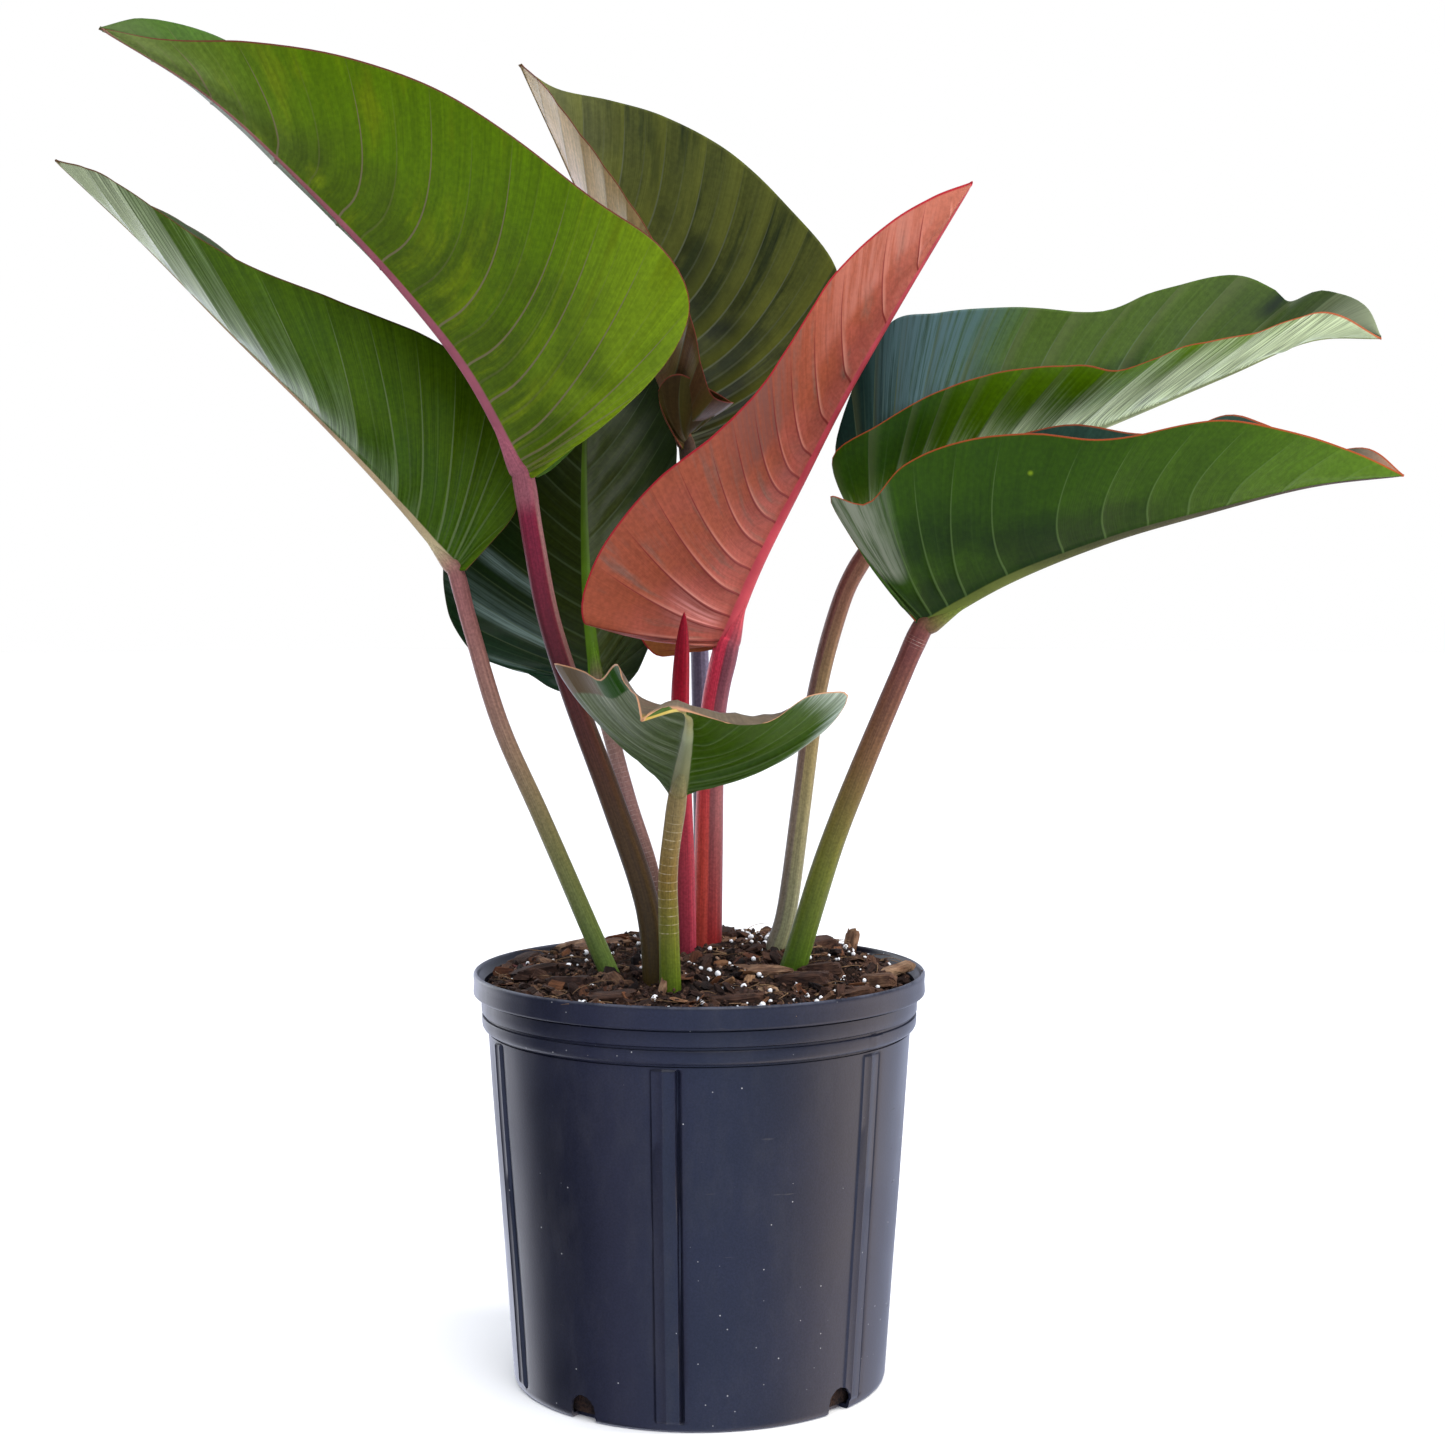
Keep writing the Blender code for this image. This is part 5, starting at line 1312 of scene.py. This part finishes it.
# Many small bodies as one mesh. Each is a squared ellipsoid, (a sin v^e, b cos v^e cos u^e,
# c cos v^e sin u^e), roughened by its own random numbers, bent, turned and put in its place.
def cloudMesh(rng, centres, sizes, turns, tone, rings=3, sides=8, square=0.6, rough=0.16, bend=0.12):
    def power(wave):
        return np.sign(wave) * np.abs(wave) ** square

    v = np.linspace(-math.pi / 2, math.pi / 2, rings + 2)[1:-1, None]
    u = np.arange(sides)[None, :] * 2 * math.pi / sides + 0.2
    body = np.stack([power(np.sin(v)) + 0 * u, power(np.cos(v)) * power(np.cos(u)),
                     power(np.cos(v)) * power(np.sin(u))], -1).reshape(-1, 3)
    form = np.concatenate([body, [(-1.0, 0, 0), (1.0, 0, 0)]])
    count, each = len(centres), len(form)
    local = form[None] * (1 + rough * (rng.random((count, each, 3)) * 2 - 1))
    local[..., 2] += bend * (rng.random((count, 1)) * 2 - 1) * (local[..., 0] ** 2 - 0.4) * 2
    local = local * sizes[:, None, :] / 2
    points = np.einsum("nij,nkj->nki", turns, local) + centres[:, None]
    quads = gridQuads(rings, sides, wrap=True)
    first, final = rings * sides, rings * sides + 1
    caps = np.concatenate([capTriangles(first, np.arange(sides), inward=True),
                           capTriangles(final, np.arange((rings - 1) * sides, rings * sides))])
    start = (np.arange(count) * each)[:, None, None]
    faces = [(quads[None] + start).reshape(-1, 4), (caps[None] + start).reshape(-1, 3)]
    grain = local + (rng.random((count, 1, 3)) * 400)
    values = dict(tone=np.repeat(tone, each), grainPlace=grain.reshape(-1, 3) * mm)
    return points.reshape(-1, 3), faces, values


# A cloud of small bodies put in as one piece of the mix.
def makeCloud(name, cloud, finish, **settings):
    points, faces, values = cloud
    makePiece(name, points, faces, finish, "potting_mix", values, **settings)


# Bark of any kind: colour by each body's own tone with blotches, and fibres along its length.
def barkFinish(name, stops):
    finish, tree, shader = newFinish(name, specular=0.25)
    place = readVector(tree, "grainPlace")
    fibre = noiseAt(tree, stretched(tree, place, (120, 900, 900)), 1.0, 4, 0.65)
    blotch = noiseAt(tree, stretched(tree, place, (160, 160, 160)), 1.0, 3)
    value = plus(tree, readValue(tree, "tone"), mapped(tree, blotch, 0.3, 0.7, -0.12, 0.12))
    colour = shade(tree, rampColour(tree, value, stops), fibre, 0.5)
    feed(tree, shader, colour, 0.85, fibre, 0.0012, 0.8)
    return finish


# Small chips, 3 + 11 u^2.4 mm long for a random u and tilted by about half a radian, and the big ones, each
# lifted by a quarter of its thickness and by its lean.
def makeBark(m):
    rng = np.random.default_rng(21)
    x, y = mixPlaces(rng, m["smallChips"], 116.0, 8.5)
    count = len(x)
    length = 3.0 + 11 * rng.random(count) ** 2.4
    sizes = np.stack([length, length * (0.35 + 0.55 * rng.random(count)), 0.9 + 0.24 * length], -1)
    z = mixHeight(x, y) + rng.normal(0.5, 1.0, count)
    turns = turnMatrices(rng.random(count) * 2 * math.pi, rng.normal(0, 0.45, count),
                         rng.normal(0, 0.6, count))
    tone = np.clip(rng.beta(1.2, 2.4, count), 0, 1)
    big = np.array(bigChips, float)
    lift = mixHeight(big[:, 0], big[:, 1]) + big[:, 4] * 0.25
    lean = np.radians(big[:, 6])
    lift = lift + np.sin(lean) * big[:, 2] * 0.3
    bigTurns = turnMatrices(np.radians(big[:, 5]), -lean, rng.normal(0, 0.15, len(big)))
    stops = [(0.0, (0.006, 0.003, 0.0025)), (0.3, (0.028, 0.013, 0.009)), (0.55, (0.066, 0.032, 0.020)),
             (0.8, (0.14, 0.074, 0.042)), (1.0, (0.28, 0.175, 0.105))]
    finish = barkFinish("bark", stops)
    small = cloudMesh(rng, np.stack([x, y, z], -1), sizes, turns, tone, square=0.45, rough=0.26)
    makeCloud("bark_small", small, finish, smooth=False)
    centres = np.stack([big[:, 0], big[:, 1], lift], -1)
    large = cloudMesh(rng, centres, big[:, 2:5], bigTurns, big[:, 7], rings=9, sides=14, square=0.42)
    makeCloud("bark_large", large, finish, sharpFrom=30)


# Crumbs of peat, 1.3 + 2.4 u^2 mm long, all over the mix, and a few of 1.1 mm on the rim.
def makeCrumbs(m):
    rng = np.random.default_rng(27)
    x, y = mixPlaces(rng, m["crumbs"], 117.5, 6.5)
    z = mixHeight(x, y) + rng.normal(0.9, 1.1, len(x))
    turn = np.radians(rng.normal(-5, 32, m["rimCrumbs"]))
    radius = m["rimCrumbRadius"] + rng.normal(0, 0.3, len(turn))
    x, y = np.append(x, radius * np.sin(turn)), np.append(y, -radius * np.cos(turn))
    z = np.append(z, np.full(len(turn), m["rimCrumbHeight"]))
    count = len(x)
    length = np.where(np.arange(count) < count - len(turn), 1.3 + 2.4 * rng.random(count) ** 2, 1.1)
    sizes = length[:, None] * (0.6 + 0.5 * rng.random((count, 3)))
    turns = turnMatrices(*(rng.random((3, count)) * 2 * math.pi))
    stops = [(0.0, (0.010, 0.005, 0.004)), (0.4, (0.045, 0.021, 0.015)), (0.8, (0.12, 0.062, 0.040)),
             (1.0, (0.24, 0.15, 0.10))]
    cloud = cloudMesh(rng, np.stack([x, y, z], -1), sizes, turns, rng.beta(1.1, 2.0, count), rings=2, sides=6,
                      square=0.8, rough=0.35, bend=0.0)
    makeCloud("peat_crumbs", cloud, barkFinish("peat crumbs", stops), smooth=False)


# Bent orange flakes, 5 + 9 u mm long, that lie on top.
def makeFlakes(m):
    rng = np.random.default_rng(33)
    x, y = mixPlaces(rng, m["flakes"], 114.0, 9.0)
    count = len(x)
    length = 5 + 9 * rng.random(count)
    sizes = np.stack([length, length * (0.4 + 0.3 * rng.random(count)), 0.9 + 0.5 * rng.random(count)], -1)
    z = mixHeight(x, y) + 1.6 + rng.random(count) * 1.6
    turns = turnMatrices(rng.random(count) * 2 * math.pi, rng.normal(0, 0.4, count),
                         rng.normal(0, 0.5, count))
    stops = [(0.0, (0.06, 0.020, 0.010)), (0.5, (0.13, 0.052, 0.022)), (1.0, (0.26, 0.15, 0.08))]
    cloud = cloudMesh(rng, np.stack([x, y, z], -1), sizes, turns, rng.random(count), bend=0.5)
    makeCloud("bark_flakes", cloud, barkFinish("orange flakes", stops), smooth=False)


# Beads of perlite, 1.1 + 2.6 u^1.7 mm across: a quarter of them lie in a group behind the middle.
def makeBeads(m):
    rng = np.random.default_rng(47)
    x, y = mixPlaces(rng, m["beads"], 115.0, 8.0)
    count = len(x)
    group = np.arange(count) % 4 == 0
    x = np.where(group, 30 + rng.normal(0, 20, count), x)
    y = np.where(group, 62 + rng.normal(0, 26, count), y)
    size = 1.1 + 2.6 * rng.random(count) ** 1.7
    sizes = size[:, None] * (0.85 + 0.3 * rng.random((count, 3)))
    z = mixHeight(x, y) + 1.2 + rng.random(count) * 1.5
    turns = turnMatrices(*(rng.random((3, count)) * 2 * math.pi))
    cloud = cloudMesh(rng, np.stack([x, y, z], -1), sizes, turns, rng.random(count), rings=4, square=1.0,
                      rough=0.12, bend=0.0)
    finish, tree, shader = newFinish("perlite", specular=0.4)
    place = readVector(tree, "grainPlace")
    pits = noiseAt(tree, place, 1500, 3, 0.6)
    tint = rampColour(tree, readValue(tree, "tone"), [(0.0, (0.70, 0.69, 0.68)), (0.5, (0.86, 0.88, 0.93))])
    feed(tree, shader, shade(tree, tint, pits, 0.12), 0.75, pits, 0.0005, 0.6)
    makeCloud("perlite_beads", cloud, finish)


# Fibres: thin tubes along bent lines, centre(s) = p + d s + side sin(pi s) + up s (1 - s).
def makeFibres(m):
    rng = np.random.default_rng(59)
    x, y = mixPlaces(rng, m["fibres"], 112.0, 9.0)
    count, steps, sides = len(x), 9, 5
    s = np.linspace(0, 1, steps)[None, :, None]
    turn = rng.random(count) * 2 * math.pi
    length = (6 + 16 * rng.random(count))[:, None, None]
    ahead = np.stack([np.cos(turn), np.sin(turn), 0.1 * rng.normal(size=count)], -1)[:, None]
    side = np.stack([-np.sin(turn), np.cos(turn), 0 * turn], -1)[:, None]
    start = np.stack([x, y, mixHeight(x, y) + 1.8], -1)[:, None]
    bow = rng.normal(0, 0.25, count)[:, None, None] * np.sin(math.pi * s)
    curve = start + length * (ahead * s + side * bow + np.array([0, 0, 1.0]) * 0.35 * s * (1 - s))
    forward = unit(np.gradient(curve, axis=1))
    right = unit(np.cross(forward, np.array([0, 0, 1.0])))
    up = np.cross(right, forward)
    u = (np.arange(sides) * 2 * math.pi / sides)[None, None, :, None]
    radius = (0.18 + 0.22 * rng.random(count))[:, None, None, None] * (1 - 0.6 * s[..., None])
    grid = curve[:, :, None] + (right[:, :, None] * np.cos(u) + up[:, :, None] * np.sin(u)) * radius
    quads = gridQuads(steps, sides, wrap=True)[:, ::-1]
    ends = np.stack([np.arange(sides), np.arange((steps - 1) * sides, steps * sides)[::-1]])
    offset = (np.arange(count) * steps * sides)[:, None, None]
    faces = [(quads[None] + offset).reshape(-1, 4), (ends[None] + offset).reshape(-1, sides)]
    values = dict(tone=np.repeat(rng.random(count), steps * sides), grainPlace=grid.reshape(-1, 3) * mm)
    stops = [(0.0, (0.05, 0.026, 0.014)), (1.0, (0.28, 0.17, 0.09))]
    makePiece("root_fibres", grid.reshape(-1, 3), faces, barkFinish("fibres", stops), "potting_mix", values)


# Dry scraps of old sheaths: line through points in mm, width at the middle, curl in degrees, colour.
scraps = [
    dict(line=[(-60, 62, 232), (-53, 57, 237), (-44, 52, 239), (-35, 48, 233)], width=10, curl=190,
         colour=(0.13, 0.040, 0.014)),
    dict(line=[(-109, 40, 226), (-106, 26, 229), (-99, 12, 227)], width=9, curl=70,
         colour=(0.055, 0.010, 0.008)),
    dict(line=[(2, 60, 240), (12, 54, 244), (20, 46, 240)], width=7, curl=120, colour=(0.10, 0.038, 0.018)),
]


# A strip w sin(pi s)^0.5 wide, rolled to an arc: side R sin a, up R (1 - cos a), R = w / curl.
def scrapGrid(scrap, seed):
    share = np.linspace(0, 1, 26)
    centre = alongLine(scrap["line"], share)
    forward = unit(np.gradient(centre, axis=0))
    side = unit(np.cross(forward, np.array([0, 0, 1.0])))
    up = np.cross(side, forward)
    width = scrap["width"] * np.sin(math.pi * (0.04 + 0.92 * share)) ** 0.5
    curl = math.radians(scrap["curl"])
    angle = np.linspace(-0.5, 0.5, 15)[None, :] * curl
    radius = (width / curl)[:, None]
    ragged = 1 + 0.25 * (latticeNoise(share[:, None] * 8 + 5, angle * 3 + 9, seed) - 0.5)
    grid = centre[:, None] + side[:, None] * (radius * np.sin(angle) * ragged)[..., None]
    return grid + up[:, None] * (radius * (1 - np.cos(angle)) * ragged)[..., None]


# Each scrap is a sheet 0.6 mm thick.
def makeScraps():
    for number, scrap in enumerate(scraps):
        grid = scrapGrid(scrap, 60 + number)
        normals = gridNormals(grid)
        points, faces = closedSheet(grid + normals * 0.3, grid - normals * 0.3)
        finish, tree, shader = newFinish("dry scrap", specular=0.25)
        fibre = noiseAt(tree, stretched(tree, objectPlace(tree), (260, 260, 260)), 1.0, 4, 0.65)
        feed(tree, shader, shade(tree, scrap["colour"], fibre, 0.5), 0.6, fibre, 0.001, 0.6)
        makePiece(f"dry_scrap_{number + 1}", points, faces, finish, "potting_mix")


makeMix(mix)
makeScraps()
makeBark(mix)
makeCrumbs(mix)
makeFlakes(mix)
makeBeads(mix)
makeFibres(mix)
print("stage 6: the potting mix, bark, perlite and fibres")
